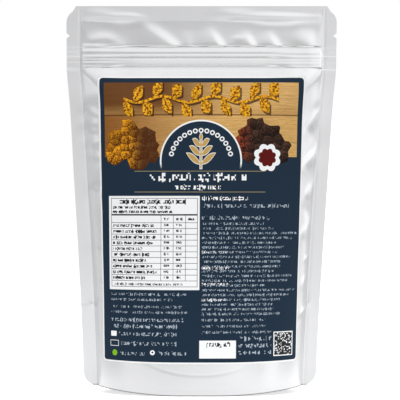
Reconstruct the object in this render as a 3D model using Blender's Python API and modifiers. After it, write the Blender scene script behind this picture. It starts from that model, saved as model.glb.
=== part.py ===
"""Sealed stand-up pouch: two film panels, a folded bottom gusset, a press-to-close zip,
a front label and the dried filling inside.

Units are metres, +Z is up and the front faces -Y. The origin is on the floor, under the
middle of the foot. Every film is mapped from flat sheet coordinates: across is the
distance from the sheet's centre line, and up is the height above its bottom edge.
"""

import functools
import math

import bmesh
import bpy
import numpy as np
from mathutils import Vector

MM = 0.001

# Cut size of a panel
HALF_WIDTH = 70.0 * MM
HEIGHT = 199.4 * MM
TOP_CORNER_RADIUS = 6.4 * MM
TOP_CORNER_CENTRE_DROP = 8.4 * MM
TOP_EDGE_HALF_WIDTH = 65.1 * MM
TOP_EDGE_FLARE = 0.62
TOP_EDGE_DROP = 2.6 * MM
BOTTOM_CORNER_RADIUS = 8.0 * MM
BOTTOM_CORNER_TRIM = 0.63 * MM
NOTCH_HEIGHT = 184.0 * MM
NOTCH_DEPTH = 1.8 * MM
NOTCH_HALF_TALL = 1.3 * MM

# Films and seals
FILM = 0.25 * MM
LABEL_FILM = 0.20 * MM
GAP = 0.30 * MM
SIDE_SEAL = 7.0 * MM
TOP_SEAL = 7.7 * MM
SEAL_INNER = HALF_WIDTH - SIDE_SEAL
LAYER_OFFSET = GAP / 2 + FILM / 2

# How far the filling pushes the panels out: the film leaves the side seal at an angle
# that is largest at the foot and falls away above the waist height
FOOT_ANGLE = 1.28
TOP_ANGLE = 0.22
WAIST_HEIGHT = 111.0 * MM
WAIST_SHARPNESS = 2.6
BACK_FULLNESS = 1.0167
SECTION_STEPS = 126

# Zip band and the ramp below it
ZIP_BOTTOM = 167.5 * MM
ZIP_TOP = 178.1 * MM
ZIP_BAND_DEPTH = 1.3 * MM
RAMP_SLOPE = 0.42
RAMP_BLEND = 2.2 * MM

# Foot edge, raised a little towards the corners
FOOT_LIFT = 2.35 * MM
FOOT_FLAT = 10.0 * MM
FOOT_LIFT_END = 50.0 * MM
FOOT_LIFT_HEIGHT = 60.0 * MM

# Gusset: sealed to each panel below an arc, folded upwards along the middle
GUSSET_HALF_WIDTH = 61.8 * MM
GUSSET_HEIGHT = 44.9 * MM
ARC_RADIUS = 74.0 * MM
ARC_LOWEST = 9.7 * MM
FOLD_LOWEST = 12.0 * MM
FOLD_CURVE = 1.5
LOBE_FLAT = 22.0 * MM
LOBE_CURVE = 1.6
LOBE_TOP = 44.0 * MM
FOLD_SHARE = 0.30
ARC_SHARE = 0.30
FLANGE_START = 0.6 * MM

# Label
LABEL_HALF_WIDTH = 53.5 * MM
LABEL_BOTTOM = 16.1 * MM
LABEL_TOP = 162.2 * MM
LABEL_CORNER = 2.3 * MM

# Zip strips
STRIP_HALF_LENGTH = 57.5 * MM
STRIP_BASE = 0.40 * MM
STRIP_MARGIN = 0.25 * MM
ZIP_PROFILE_HEIGHT = 172.3 * MM
RIB_HALF_TALL = 0.30 * MM
HOOK_SPACING = 1.55 * MM
ARROW_HALF_TALL = 0.70 * MM
ARROW_LENGTH = 0.35 * MM

# Filling
FILL_HALF_WIDTH = 54.0 * MM
FILL_TOP = 140.0 * MM
FILL_CROWN = 5.0 * MM
FILL_CLEARANCE = 1.0 * MM
FILL_CUTS = 7

FRONT = -1.0
BACK = 1.0


def stretch(start, end, cells):
    """Evenly spaced stations from start up to, but not including, end."""
    return [start + (end - start) * index / cells for index in range(cells)]


ACROSS_INNER = (
    stretch(0.0, LABEL_HALF_WIDTH, 6)
    + stretch(LABEL_HALF_WIDTH, SEAL_INNER, 2)
    + [SEAL_INNER]
)
SEAL_CELLS = 2
UP_STATIONS = (
    [0.0, 1.4 * MM, 3.6 * MM]
    + stretch(7.4 * MM, LABEL_BOTTOM, 1)
    + stretch(LABEL_BOTTOM, GUSSET_HEIGHT, 4)
    + stretch(GUSSET_HEIGHT, 137.0 * MM, 8)
    + stretch(137.0 * MM, LABEL_TOP, 6)
    + stretch(LABEL_TOP, ZIP_BOTTOM, 2)
    + stretch(ZIP_BOTTOM, ZIP_TOP, 2)
    + stretch(ZIP_TOP, NOTCH_HEIGHT - NOTCH_HALF_TALL, 2)
    + [NOTCH_HEIGHT - NOTCH_HALF_TALL, NOTCH_HEIGHT, NOTCH_HEIGHT + NOTCH_HALF_TALL]
    + stretch(HEIGHT - TOP_CORNER_CENTRE_DROP, HEIGHT - TOP_EDGE_DROP, 4)
    + stretch(HEIGHT - TOP_EDGE_DROP, HEIGHT, 2)
    + [HEIGHT]
)


def smooth(value, start, end):
    """Ease from 0 at start to 1 at end."""
    share = min(max((value - start) / (end - start), 0.0), 1.0)
    return share * share * (3.0 - 2.0 * share)


def panel_half_width(up):
    """Half the cut width of a panel at a height: round corners and tear notches."""
    drop = HEIGHT - up
    if up < BOTTOM_CORNER_RADIUS - BOTTOM_CORNER_TRIM:
        rise = BOTTOM_CORNER_RADIUS - BOTTOM_CORNER_TRIM - up
        reach = math.sqrt(BOTTOM_CORNER_RADIUS ** 2 - rise ** 2)
        return HALF_WIDTH - BOTTOM_CORNER_RADIUS + reach
    if drop < TOP_CORNER_CENTRE_DROP:
        rise = TOP_CORNER_CENTRE_DROP - drop
        reach = math.sqrt(max(TOP_CORNER_RADIUS ** 2 - rise ** 2, 0.0))
        arc = HALF_WIDTH - TOP_CORNER_RADIUS + reach
        flare = TOP_EDGE_HALF_WIDTH + TOP_EDGE_FLARE * min(drop, TOP_EDGE_DROP)
        return max(arc, flare)
    notch = max(0.0, 1.0 - abs(up - NOTCH_HEIGHT) / NOTCH_HALF_TALL)
    return HALF_WIDTH - NOTCH_DEPTH * notch


def seal_edge_angle(up):
    """Angle between the film and the seal plane where the film leaves the side seal."""
    fall = (up / WAIST_HEIGHT) ** WAIST_SHARPNESS
    return TOP_ANGLE + (FOOT_ANGLE - TOP_ANGLE) / (1.0 + fall)


def crown_depth(up):
    """Greatest half depth that the zip band, its ramp and the header allow."""
    if up <= ZIP_BOTTOM:
        return ZIP_BAND_DEPTH + RAMP_SLOPE * (ZIP_BOTTOM - up)
    if up <= ZIP_TOP:
        return ZIP_BAND_DEPTH
    left = max(HEIGHT - TOP_SEAL - up, 0.0) / (HEIGHT - TOP_SEAL - ZIP_TOP)
    return ZIP_BAND_DEPTH * left * left


def soft_min(first, second):
    """The lower of two depths, with the crease between them rounded."""
    width = np.maximum(np.minimum(RAMP_BLEND, 0.5 * (first + second)), 1e-9)
    overlap = np.maximum(width - np.abs(first - second), 0.0) / width
    return np.minimum(first, second) - overlap * overlap * width / 4.0


@functools.lru_cache(maxsize=None)
def cross_section(up):
    """Half the pouch's outline at one height: sheet stations, x values and half depths."""
    across = np.linspace(0.0, SEAL_INNER, SECTION_STEPS + 1)
    step = across[1]
    slope = np.sin(seal_edge_angle(up) * (across / SEAL_INNER) ** 2)
    cells = 0.5 * (slope[1:] + slope[:-1]) * step
    side = np.append(np.cumsum(cells[::-1])[::-1], 0.0)
    depth = soft_min(side, crown_depth(up))
    run = np.sqrt(np.maximum(step ** 2 - np.diff(depth) ** 2, 0.0))
    return across, np.append(0.0, np.cumsum(run)), depth


def half_depth(distance, up):
    """How far the panel stands out from the seal plane."""
    across, _, depth = cross_section(up)
    return float(np.interp(distance, across, depth))


def x_position(distance, up):
    """World x of a point that lies this far across the flat sheet."""
    across, run, _ = cross_section(up)
    return float(np.interp(distance, across, run)) + max(distance - SEAL_INNER, 0.0)


def foot_lift(distance, up):
    """How much higher than its flat position a point stands, near the raised corners."""
    raised = FOOT_LIFT * smooth(distance, FOOT_FLAT, FOOT_LIFT_END)
    return raised * (1.0 - smooth(up, 0.0, FOOT_LIFT_HEIGHT))


def panel_point(across, up, face):
    """Middle of the panel film, for a point of the flat sheet."""
    distance = abs(across)
    fullness = BACK_FULLNESS if face == BACK else 1.0
    depth = half_depth(distance, up) * fullness + LAYER_OFFSET
    x = math.copysign(x_position(distance, up), across)
    return Vector((x, face * depth, up + foot_lift(distance, up)))


def panel_normal(across, up, face):
    """Outward direction of the panel film at a point of the flat sheet."""
    step = 0.5 * MM
    along = panel_point(across + step, up, face) - panel_point(across - step, up, face)
    low = max(up - step, 0.0)
    rising = panel_point(across, up + step, face) - panel_point(across, low, face)
    return (along.cross(rising) * -face).normalized()


def offset_point(across, up, face, distance):
    """A point beside the panel film, along its outward direction."""
    return panel_point(across, up, face) + panel_normal(across, up, face) * distance


def new_collection(name):
    """Make a collection in the scene."""
    collection = bpy.data.collections.new(name)
    bpy.context.scene.collection.children.link(collection)
    return collection


def new_material(name, colour, roughness, metallic):
    """Make a plain Principled material."""
    material = bpy.data.materials.new(name)
    material.use_nodes = True
    shader = material.node_tree.nodes["Principled BSDF"]
    shader.inputs["Base Color"].default_value = (*colour, 1.0)
    shader.inputs["Roughness"].default_value = roughness
    shader.inputs["Metallic"].default_value = metallic
    material.diffuse_color = (*colour, 1.0)
    return material


def add_object(name, data, collection, material):
    """Put mesh or curve data in the scene as one named object."""
    data.materials.append(material)
    piece = bpy.data.objects.new(name, data)
    collection.objects.link(piece)
    return piece


def mirrored(stations):
    """Stations from -last to +last, from a list that starts at 0."""
    return [-value for value in reversed(stations[1:])] + stations


def film_sheet(name, columns, rows, place, thickness, collection, material):
    """A grid whose points are placed by column and row, thickened into a film."""
    column_cells = len(columns) - 1
    row_cells = len(rows) - 1
    sheet = bmesh.new()
    bmesh.ops.create_grid(sheet, x_segments=column_cells, y_segments=row_cells, size=0.5)
    for vertex in sheet.verts:
        column = columns[round((vertex.co.x + 0.5) * column_cells)]
        row = rows[round((vertex.co.y + 0.5) * row_cells)]
        vertex.co = place(column, row)
    mesh = bpy.data.meshes.new(name)
    sheet.to_mesh(mesh)
    sheet.free()
    mesh.shade_smooth()
    piece = add_object(name, mesh, collection, material)
    solidify = piece.modifiers.new("Film thickness", "SOLIDIFY")
    solidify.thickness = thickness
    solidify.offset = 0.0
    return piece


def make_panel(name, face, collection, material):
    """Front or back panel, with its side and top seals, corners and tear notches."""
    seal_stations = [SEAL_INNER + SIDE_SEAL * (index + 1) / SEAL_CELLS for index in range(SEAL_CELLS)]

    def place(column, row):
        distance = abs(column)
        if distance > SEAL_INNER:
            share = (distance - SEAL_INNER) / SIDE_SEAL
            distance = SEAL_INNER + share * (panel_half_width(row) - SEAL_INNER)
        return panel_point(math.copysign(distance, column), row, face)

    columns = mirrored(ACROSS_INNER + seal_stations)
    rows = UP_STATIONS
    return film_sheet(name, columns, rows, place, FILM, collection, material)


def arc_height(distance):
    """Height of the curved seal that joins the gusset to a panel."""
    return ARC_LOWEST + ARC_RADIUS - math.sqrt(ARC_RADIUS ** 2 - distance ** 2)


def fold_height(distance):
    """Height of the gusset's middle fold, from its low point to the side seals."""
    share = distance / SEAL_INNER
    return FOLD_LOWEST + (GUSSET_HEIGHT - FOLD_LOWEST) * share ** FOLD_CURVE


def lobe_height(distance):
    """Height of the gusset where it bulges down, between the fold and an arc seal."""
    share = max(distance - LOBE_FLAT, 0.0) / (SEAL_INNER - LOBE_FLAT)
    return LOBE_TOP * share ** LOBE_CURVE + FILM / 2


def gusset_point(across, station):
    """Middle of the gusset film. station is (face, part, share): the flange part runs
    up the panel to the arc seal, and the floor part from there in to the middle fold."""
    face, part, share = station
    distance = abs(across)
    inset = -(FILM + GAP)
    arc = arc_height(distance)
    if part == "flange":
        up = FLANGE_START + (arc - FLANGE_START) * share
        return offset_point(across, up, face, inset)
    edge = offset_point(across, arc, face, inset)
    lobe = lobe_height(distance)
    near_fold = (fold_height(distance) - lobe) * smooth(FOLD_SHARE - share, 0.0, FOLD_SHARE)
    climb = max(share - (1.0 - ARC_SHARE), 0.0) / ARC_SHARE
    near_arc = (edge.z - lobe) * climb * climb
    return Vector((edge.x, edge.y * share, lobe + near_fold + near_arc))


def make_gusset(collection, material):
    """Bottom gusset: two flanges under the arc seals and a floor with a middle fold."""
    columns = mirrored(ACROSS_INNER[:-1] + [GUSSET_HALF_WIDTH])
    flange = [index / 3 for index in range(3)]
    floor = [1.0, 0.85, 0.7, 0.6, 0.5, 0.4, 0.3, 0.15]
    front = [(FRONT, "flange", share) for share in flange]
    front += [(FRONT, "floor", share) for share in floor]
    back = [(BACK, part, share) for _, part, share in reversed(front)]
    rows = front + [(FRONT, "floor", 0.0)] + back
    name = "bottom_gusset"
    return film_sheet(name, columns, rows, gusset_point, FILM, collection, material)


def label_half_width(up):
    """Half the label's width at a height, with its round corners."""
    nearest = min(up - LABEL_BOTTOM, LABEL_TOP - up)
    rise = max(LABEL_CORNER - nearest, 0.0)
    return LABEL_HALF_WIDTH - LABEL_CORNER + math.sqrt(LABEL_CORNER ** 2 - rise ** 2)


def make_label(collection, material):
    """Printed label, which follows the front panel."""
    stand_off = FILM / 2 + GAP + LABEL_FILM / 2
    inner = [value for value in ACROSS_INNER if value < LABEL_HALF_WIDTH - LABEL_CORNER]

    def place(column, row):
        distance = min(abs(column), label_half_width(row))
        across = math.copysign(distance, column)
        return offset_point(across, row, FRONT, stand_off)

    corner_rows = [0.3 * LABEL_CORNER, LABEL_CORNER]
    rows = [value for value in UP_STATIONS if LABEL_BOTTOM < value < LABEL_TOP]
    rows = [LABEL_BOTTOM] + [LABEL_BOTTOM + rise for rise in corner_rows] + rows
    rows += [LABEL_TOP - rise for rise in reversed(corner_rows)] + [LABEL_TOP]
    columns = mirrored(inner + [LABEL_HALF_WIDTH])
    return film_sheet("label", columns, rows, place, LABEL_FILM, collection, material)


def strip_outline(face):
    """Outline of a zip strip in (y, z): a flat base with the hooks or the arrow on it."""
    outer = ZIP_BAND_DEPTH + LAYER_OFFSET - FILM / 2 - GAP
    inner = outer - STRIP_BASE
    low = ZIP_BOTTOM + STRIP_MARGIN
    high = ZIP_TOP - STRIP_MARGIN
    tip = GAP - inner
    points = [(outer, low), (inner, low)]
    if face == BACK:
        barb = tip + ARROW_LENGTH
        points += [
            (inner, ZIP_PROFILE_HEIGHT - RIB_HALF_TALL),
            (barb, ZIP_PROFILE_HEIGHT - RIB_HALF_TALL),
            (barb, ZIP_PROFILE_HEIGHT - ARROW_HALF_TALL),
            (tip, ZIP_PROFILE_HEIGHT),
            (barb, ZIP_PROFILE_HEIGHT + ARROW_HALF_TALL),
            (barb, ZIP_PROFILE_HEIGHT + RIB_HALF_TALL),
            (inner, ZIP_PROFILE_HEIGHT + RIB_HALF_TALL),
        ]
    else:
        for centre in (ZIP_PROFILE_HEIGHT - HOOK_SPACING, ZIP_PROFILE_HEIGHT + HOOK_SPACING):
            points += [
                (inner, centre - RIB_HALF_TALL),
                (tip, centre - RIB_HALF_TALL),
                (tip, centre + RIB_HALF_TALL),
                (inner, centre + RIB_HALF_TALL),
            ]
    points += [(inner, high), (outer, high)]
    return [(face * depth, height) for depth, height in points]


def make_zip_strip(name, face, collection, material):
    """One half of the zip: its profile run along the pouch between the side seals."""
    curve = bpy.data.curves.new(name, "CURVE")
    curve.dimensions = "2D"
    curve.fill_mode = "BOTH"
    curve.extrude = STRIP_HALF_LENGTH
    outline = strip_outline(face)
    spline = curve.splines.new("POLY")
    spline.points.add(len(outline) - 1)
    for point, (depth, height) in zip(spline.points, outline):
        point.co = (depth, height, 0.0, 1.0)
    spline.use_cyclic_u = True
    strip = add_object(name, curve, collection, material)
    strip.rotation_euler = (math.pi / 2, 0.0, math.pi / 2)
    return strip


def fill_point(corner):
    """A point of the filling, from a point of a cube that is 2 units wide."""
    across = corner.x * FILL_HALF_WIDTH
    distance = abs(across)
    bottom = fold_height(distance) + FILL_CLEARANCE
    top = FILL_TOP - FILL_CROWN * corner.x ** 2
    up = bottom + (top - bottom) * (corner.z + 1.0) / 2.0
    depth = half_depth(distance, up) - FILL_CLEARANCE
    x = math.copysign(x_position(distance, up), across)
    return Vector((x, corner.y * depth, up))


def make_filling(collection, material):
    """The loose dried filling as one lens-shaped mass that stands above the fold."""
    lump = bmesh.new()
    bmesh.ops.create_cube(lump, size=2.0)
    bmesh.ops.subdivide_edges(lump, edges=lump.edges[:], cuts=FILL_CUTS, use_grid_fill=True)
    for vertex in lump.verts:
        vertex.co = fill_point(vertex.co)
    mesh = bpy.data.meshes.new("filling")
    lump.to_mesh(mesh)
    lump.free()
    return add_object("filling", mesh, collection, material)


def clear_scene():
    """Remove what the scene starts with."""
    for existing in list(bpy.data.objects):
        bpy.data.objects.remove(existing, do_unlink=True)


def main():
    """Build the pouch."""
    clear_scene()
    pouch = new_collection("stand_up_pouch")
    front_film = new_material("Front film", (0.80, 0.81, 0.82), 0.38, 0.35)
    back_film = new_material("Back film", (0.78, 0.79, 0.80), 0.38, 0.35)
    gusset_film = new_material("Gusset film", (0.74, 0.75, 0.77), 0.40, 0.35)
    label_print = new_material("Label print", (0.020, 0.036, 0.058), 0.45, 0.0)
    zip_plastic = new_material("Zip plastic", (0.86, 0.88, 0.88), 0.35, 0.0)
    press_plastic = new_material("Zip hook plastic", (0.84, 0.86, 0.87), 0.35, 0.0)
    dried_fill = new_material("Dried filling", (0.10, 0.055, 0.030), 0.90, 0.0)
    make_panel("front_panel", FRONT, pouch, front_film)
    make_panel("back_panel", BACK, pouch, back_film)
    make_gusset(pouch, gusset_film)
    make_label(pouch, label_print)
    make_zip_strip("zip_strip_front", FRONT, pouch, press_plastic)
    make_zip_strip("zip_strip_back", BACK, pouch, zip_plastic)
    make_filling(pouch, dried_fill)


if __name__ == "__main__":
    main()
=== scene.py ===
"""Looks of the sealed stand-up pouch: satin film, zip relief, creases, printed label, studio.

The film pieces are mapped from flat sheet coordinates in millimetres: across is the
distance from the sheet's centre line (right is positive), up is the height above its lower
edge. The pouch stands on the floor with its labelled front towards -Y.
"""

import logging
import math
from dataclasses import dataclass, field
from enum import Enum
from typing import Protocol, Sequence

import bpy
import numpy as np
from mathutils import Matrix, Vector

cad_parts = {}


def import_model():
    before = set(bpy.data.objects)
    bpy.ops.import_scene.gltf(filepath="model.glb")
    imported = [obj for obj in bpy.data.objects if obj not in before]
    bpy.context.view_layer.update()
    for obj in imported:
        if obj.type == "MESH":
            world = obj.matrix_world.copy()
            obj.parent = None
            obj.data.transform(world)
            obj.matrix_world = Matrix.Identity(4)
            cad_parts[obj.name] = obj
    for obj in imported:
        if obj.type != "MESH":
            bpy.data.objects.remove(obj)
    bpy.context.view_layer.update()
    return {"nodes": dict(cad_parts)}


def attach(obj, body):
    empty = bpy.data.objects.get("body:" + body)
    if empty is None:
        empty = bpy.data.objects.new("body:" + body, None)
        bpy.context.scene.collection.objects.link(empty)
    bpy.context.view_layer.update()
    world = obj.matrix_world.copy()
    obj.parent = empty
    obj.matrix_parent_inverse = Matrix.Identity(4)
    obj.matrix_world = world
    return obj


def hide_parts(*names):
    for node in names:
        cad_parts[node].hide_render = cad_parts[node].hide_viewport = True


logging.basicConfig(level=logging.INFO, format="%(message)s")
log = logging.getLogger("pouch")

MM = 0.001
SHEET_ATTRIBUTE = "sheet_mm"
FLOAT_SOCKET = "NodeSocketFloat"
COLOUR_SOCKET = "NodeSocketColor"

Colour = tuple[float, float, float]
Socket = bpy.types.NodeSocket


class Face(Enum):
    """Which side of the seal plane a film lies on."""

    FRONT = -1.0
    BACK = 1.0


def srgb(red: int, green: int, blue: int) -> Colour:
    """Turn 8-bit display values into a linear colour.

    Args:
        red: Red, 0 to 255.
        green: Green, 0 to 255.
        blue: Blue, 0 to 255.

    Returns:
        The linear colour.
    """
    parts = []
    for part in (red / 255.0, green / 255.0, blue / 255.0):
        parts.append(part / 12.92 if part <= 0.04045 else ((part + 0.055) / 1.055) ** 2.4)
    return parts[0], parts[1], parts[2]


def smooth(value: np.ndarray, start: float, end: float) -> np.ndarray:
    """Ease from 0 at start to 1 at end.

    Args:
        value: Where to read the step.
        start: Value at which it starts.
        end: Value at which it is complete.

    Returns:
        The eased share, from 0 to 1.
    """
    share = np.clip((value - start) / (end - start), 0.0, 1.0)
    return share * share * (3.0 - 2.0 * share)


# Shape of the films


@dataclass
class PouchForm:
    """Shape of the filled pouch, as tables of half depth and x over the flat sheet."""

    half_width: float = 70.0
    height: float = 199.4
    seal_inner: float = 63.0
    top_seal: float = 7.7
    foot_angle: float = 1.298
    top_angle: float = 0.186
    angle_curve: float = 1.48
    back_fullness: float = 1.0167
    zip_bottom: float = 167.2
    zip_top: float = 178.1
    header_depth: float = 1.15
    zip_depth: float = 2.2
    ramp_slope: float = 0.38
    ramp_blend: float = 1.5
    foot_lift: float = 3.2
    lean: float = 0.0049
    arc_lowest: float = 10.3
    arc_rise: float = 34.6
    arc_curve: float = 2.1
    foot_corner: float = 8.0
    foot_corner_top: float = 7.37
    top_corner: float = 6.4
    top_corner_drop: float = 8.4
    top_cut: float = 65.1
    top_cut_slant: float = 0.62
    top_cut_drop: float = 2.6
    notch_up: float = 184.0
    notch_reach: float = 1.3
    notch_depth: float = 1.8
    layer_offset: float = 0.11
    across_steps: int = 126
    up_step: float = 0.2
    depth_table: np.ndarray = field(init=False)
    x_table: np.ndarray = field(init=False)

    def __post_init__(self) -> None:
        """Fill the tables, one row for each height."""
        rows = [self._section(up) for up in np.arange(0.0, self.height + 1.0, self.up_step)]
        self.depth_table = np.array([row[0] for row in rows])
        self.x_table = np.array([row[1] for row in rows])

    def _crown(self, up: float) -> float:
        """Greatest half depth that the zip band, its ramp and the header allow.

        Args:
            up: Height on the sheet.

        Returns:
            The half depth.
        """
        if up <= self.zip_bottom:
            return self.zip_depth + self.ramp_slope * (self.zip_bottom - up)
        if up <= self.zip_top:
            share = (self.zip_top - up) / (self.zip_top - self.zip_bottom)
            return self.header_depth + (self.zip_depth - self.header_depth) * share
        seal = self.height - self.top_seal
        return self.header_depth * (max(seal - up, 0.0) / (seal - self.zip_top)) ** 1.35

    def _section(self, up: float) -> tuple[np.ndarray, np.ndarray]:
        """Half the outline at one height.

        Args:
            up: Height on the sheet.

        Returns:
            Half depths and x values at even stations from the centre to the side seal.
        """
        across = np.linspace(0.0, self.seal_inner, self.across_steps + 1)
        step = across[1]
        share = (up / self.height) ** self.angle_curve
        angle = self.foot_angle - (self.foot_angle - self.top_angle) * share
        slope = np.sin(angle * (across / self.seal_inner) ** 2)
        cells = 0.5 * (slope[1:] + slope[:-1]) * step
        side = np.append(np.cumsum(cells[::-1])[::-1], 0.0)
        crown = self._crown(up)
        band = min(max(crown - self.header_depth, 0.0), self.zip_depth - self.header_depth)
        crown = crown - band * smooth(across, 30.0, 58.0)
        width = np.maximum(np.minimum(self.ramp_blend, 0.5 * (side + crown)), 1e-6)
        overlap = np.maximum(width - np.abs(side - crown), 0.0) / width
        depth = np.minimum(side, crown) - overlap * overlap * width / 4.0
        run = np.sqrt(np.maximum(step**2 - np.diff(depth) ** 2, 0.0))
        return depth, np.append(0.0, np.cumsum(run))

    def _read(self, table: np.ndarray, distance: np.ndarray, up: np.ndarray) -> np.ndarray:
        """Read a table between its stations.

        Args:
            table: One of the two tables.
            distance: Distances from the centre line.
            up: Heights on the sheet.

        Returns:
            The values read.
        """
        row = np.clip(up / self.up_step, 0.0, table.shape[0] - 1.001)
        column = np.clip(distance / self.seal_inner * self.across_steps, 0.0, self.across_steps - 1e-6)
        low, left = row.astype(int), column.astype(int)
        high_share, right_share = row - low, column - left
        lower = table[low, left] * (1.0 - right_share) + table[low, left + 1] * right_share
        upper = table[low + 1, left] * (1.0 - right_share) + table[low + 1, left + 1] * right_share
        return lower * (1.0 - high_share) + upper * high_share

    def place(self, across: np.ndarray, up: np.ndarray, face: Face) -> np.ndarray:
        """Map flat sheet coordinates to the middle of the standing film.

        Args:
            across: Distances across the sheet, signed.
            up: Heights on the sheet, same shape.
            face: Front or back film.

        Returns:
            Points in millimetres, with one more axis.
        """
        distance = np.abs(across)
        fullness = self.back_fullness if face is Face.BACK else 1.0
        depth = self._read(self.depth_table, distance, up) * fullness + self.layer_offset
        x = self._read(self.x_table, distance, up) + np.maximum(distance - self.seal_inner, 0.0)
        lift = self.foot_lift * smooth(distance, 12.0, 66.0) * (1.0 - smooth(up, 0.0, 24.0))
        return np.stack([np.sign(across) * x + self.lean * up, face.value * depth, up + lift], axis=-1)

    def gusset_arc(self, distance: np.ndarray) -> np.ndarray:
        """Height at which the gusset leaves the panel, at a distance from the centre line."""
        share = np.minimum(distance, self.seal_inner) / self.seal_inner
        return self.arc_lowest + self.arc_rise * share**self.arc_curve

    def edge(self, up: float) -> float:
        """Half the cut width at a height, with round corners and tear notches.

        Args:
            up: Height on the sheet.

        Returns:
            The half width.
        """
        drop = self.height - up
        if up < self.foot_corner_top:
            radius, beyond = self.foot_corner, self.foot_corner_top - up
            return self.half_width - radius + math.sqrt(radius**2 - beyond**2)
        if drop < self.top_corner_drop:
            radius, beyond = self.top_corner, self.top_corner_drop - drop
            arc = self.half_width - radius + math.sqrt(max(radius**2 - beyond**2, 0.0))
            return max(arc, self.top_cut + self.top_cut_slant * min(drop, self.top_cut_drop))
        notch = max(0.0, 1.0 - abs(up - self.notch_up) / self.notch_reach)
        return self.half_width - self.notch_depth * notch


def outward_normals(points: np.ndarray, flip: bool) -> np.ndarray:
    """Unit normals of a grid of points.

    Args:
        points: Grid of points, rows by columns by 3.
        flip: Turn the normals round.

    Returns:
        One normal for each point.
    """
    normal = np.cross(np.gradient(points, axis=1), np.gradient(points, axis=0))
    normal /= np.maximum(np.linalg.norm(normal, axis=-1, keepdims=True), 1e-9)
    return -normal if flip else normal


# Relief


class Relief(Protocol):
    """Anything that raises or sinks a film along its outward direction."""

    def height_at(self, across: np.ndarray, up: np.ndarray) -> np.ndarray:
        """Height of the relief.

        Args:
            across: Distances across the sheet.
            up: Heights on the sheet.

        Returns:
            Heights in millimetres.
        """


@dataclass(frozen=True)
class Stroke:
    """A ridge (height above 0) or valley (below 0) along a path on the sheet.

    The width is measured to the left and to the right of the path's direction, so that
    one flank can be steep and the other long. A taper makes the path's start wider and lower.
    """

    path: tuple[tuple[float, float], ...]
    height: float
    left: float
    right: float
    start: float = 0.0
    end: float = 0.0
    sharp: bool = False
    taper: float = 0.0

    def height_at(self, across: np.ndarray, up: np.ndarray) -> np.ndarray:
        """Height of the stroke.

        Args:
            across: Distances across the sheet.
            up: Heights on the sheet.

        Returns:
            Heights in millimetres.
        """
        knots = np.array(self.path)
        lengths = np.linalg.norm(np.diff(knots, axis=0), axis=1)
        total = lengths.sum()
        best = np.full(across.shape, np.inf)
        share = np.zeros(across.shape)
        progress = np.zeros(across.shape)
        travelled = 0.0
        for first, second, length in zip(knots[:-1], knots[1:], lengths):
            along = (second - first) / length
            run = (across - first[0]) * along[0] + (up - first[1]) * along[1]
            held = np.clip(run, 0.0, length)
            off_x = across - first[0] - held * along[0]
            off_y = up - first[1] - held * along[1]
            distance = np.hypot(off_x, off_y)
            side = (along[0] * off_y - along[1] * off_x) / np.maximum(distance, 1e-6)
            beyond = travelled + run
            in_path = (beyond > 0.0) & (beyond < total)
            nearer = distance < best
            best = np.where(nearer, distance, best)
            share = np.where(nearer, np.where(in_path, np.sign(side), side), share)
            progress = np.where(nearer, (travelled + held) / total, progress)
            travelled += length
        width = self.right + (self.left - self.right) * (0.5 + 0.5 * share)
        width = width * (1.0 + self.taper * (1.0 - progress))
        reach = best / width
        if self.sharp:
            fall = np.exp(-(np.sqrt(reach**2 + 0.02) - math.sqrt(0.02)))
        else:
            fall = np.exp(-(reach**2))
        grow = self.start + (1.0 - self.start) * smooth(progress, 0.0, 0.45 + 0.5 * min(self.taper, 1.0))
        fade = self.end + (1.0 - self.end) * (1.0 - smooth(progress, 0.55, 1.0))
        return self.height * fall * grow * fade


@dataclass(frozen=True)
class Bump:
    """A soft oval swelling or dent."""

    centre: tuple[float, float]
    radii: tuple[float, float]
    height: float
    turn: float = 0.0

    def height_at(self, across: np.ndarray, up: np.ndarray) -> np.ndarray:
        """Height of the bump.

        Args:
            across: Distances across the sheet.
            up: Heights on the sheet.

        Returns:
            Heights in millimetres.
        """
        cosine, sine = math.cos(math.radians(self.turn)), math.sin(math.radians(self.turn))
        east, north = across - self.centre[0], up - self.centre[1]
        long = (east * cosine + north * sine) / self.radii[0]
        short = (north * cosine - east * sine) / self.radii[1]
        return self.height * np.exp(-(long**2 + short**2))


@dataclass(frozen=True)
class SlopeProfile:
    """Horizontal ribs given by how steeply the film turns outwards going down."""

    knots: tuple[tuple[float, float], ...]
    span: tuple[float, float]
    fade: tuple[float, float]
    level: float = 0.0
    settle: float = 14.0

    def height_at(self, across: np.ndarray, up: np.ndarray) -> np.ndarray:
        """Height of the ribs.

        Args:
            across: Distances across the sheet.
            up: Heights on the sheet.

        Returns:
            Heights in millimetres.
        """
        heights = np.array([knot[0] for knot in self.knots])
        slopes = np.array([knot[1] for knot in self.knots])
        fine = np.linspace(heights[0], heights[-1], 800)
        slope = np.interp(-fine, -heights, slopes)
        rise = np.cumsum(slope - self.level) * (fine[0] - fine[1])
        near, far = self.span
        amount = smooth(across, near - self.fade[0], near + self.fade[0])
        amount = amount * (1.0 - smooth(across, far - self.fade[1], far + self.fade[1]))
        tail = 1.0 - smooth(fine[-1] - up, 0.0, self.settle)
        return np.interp(-up, -fine, rise, left=0.0) * tail * amount


@dataclass(frozen=True)
class SealStep:
    """The seal's pressed edge: a fine groove along the inner edge of each side seal."""

    left_edge: float
    right_edge: float
    depth: float
    top: float
    groove: float = 0.35
    lip_shift: float = 1.6
    lip_share: float = 0.6

    def height_at(self, across: np.ndarray, up: np.ndarray) -> np.ndarray:
        """Height of the groove.

        Args:
            across: Distances across the sheet.
            up: Heights on the sheet.

        Returns:
            Heights in millimetres.
        """
        edge = np.where(across > 0.0, self.right_edge, -self.left_edge)
        reach = (np.abs(across) - edge) / self.groove
        lip = np.exp(-((reach + self.lip_shift) ** 2)) * self.lip_share
        fade = 1.0 - smooth(up, self.top - 1.0, self.top)
        return self.depth * (lip - np.exp(-(reach**2))) * fade


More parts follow.
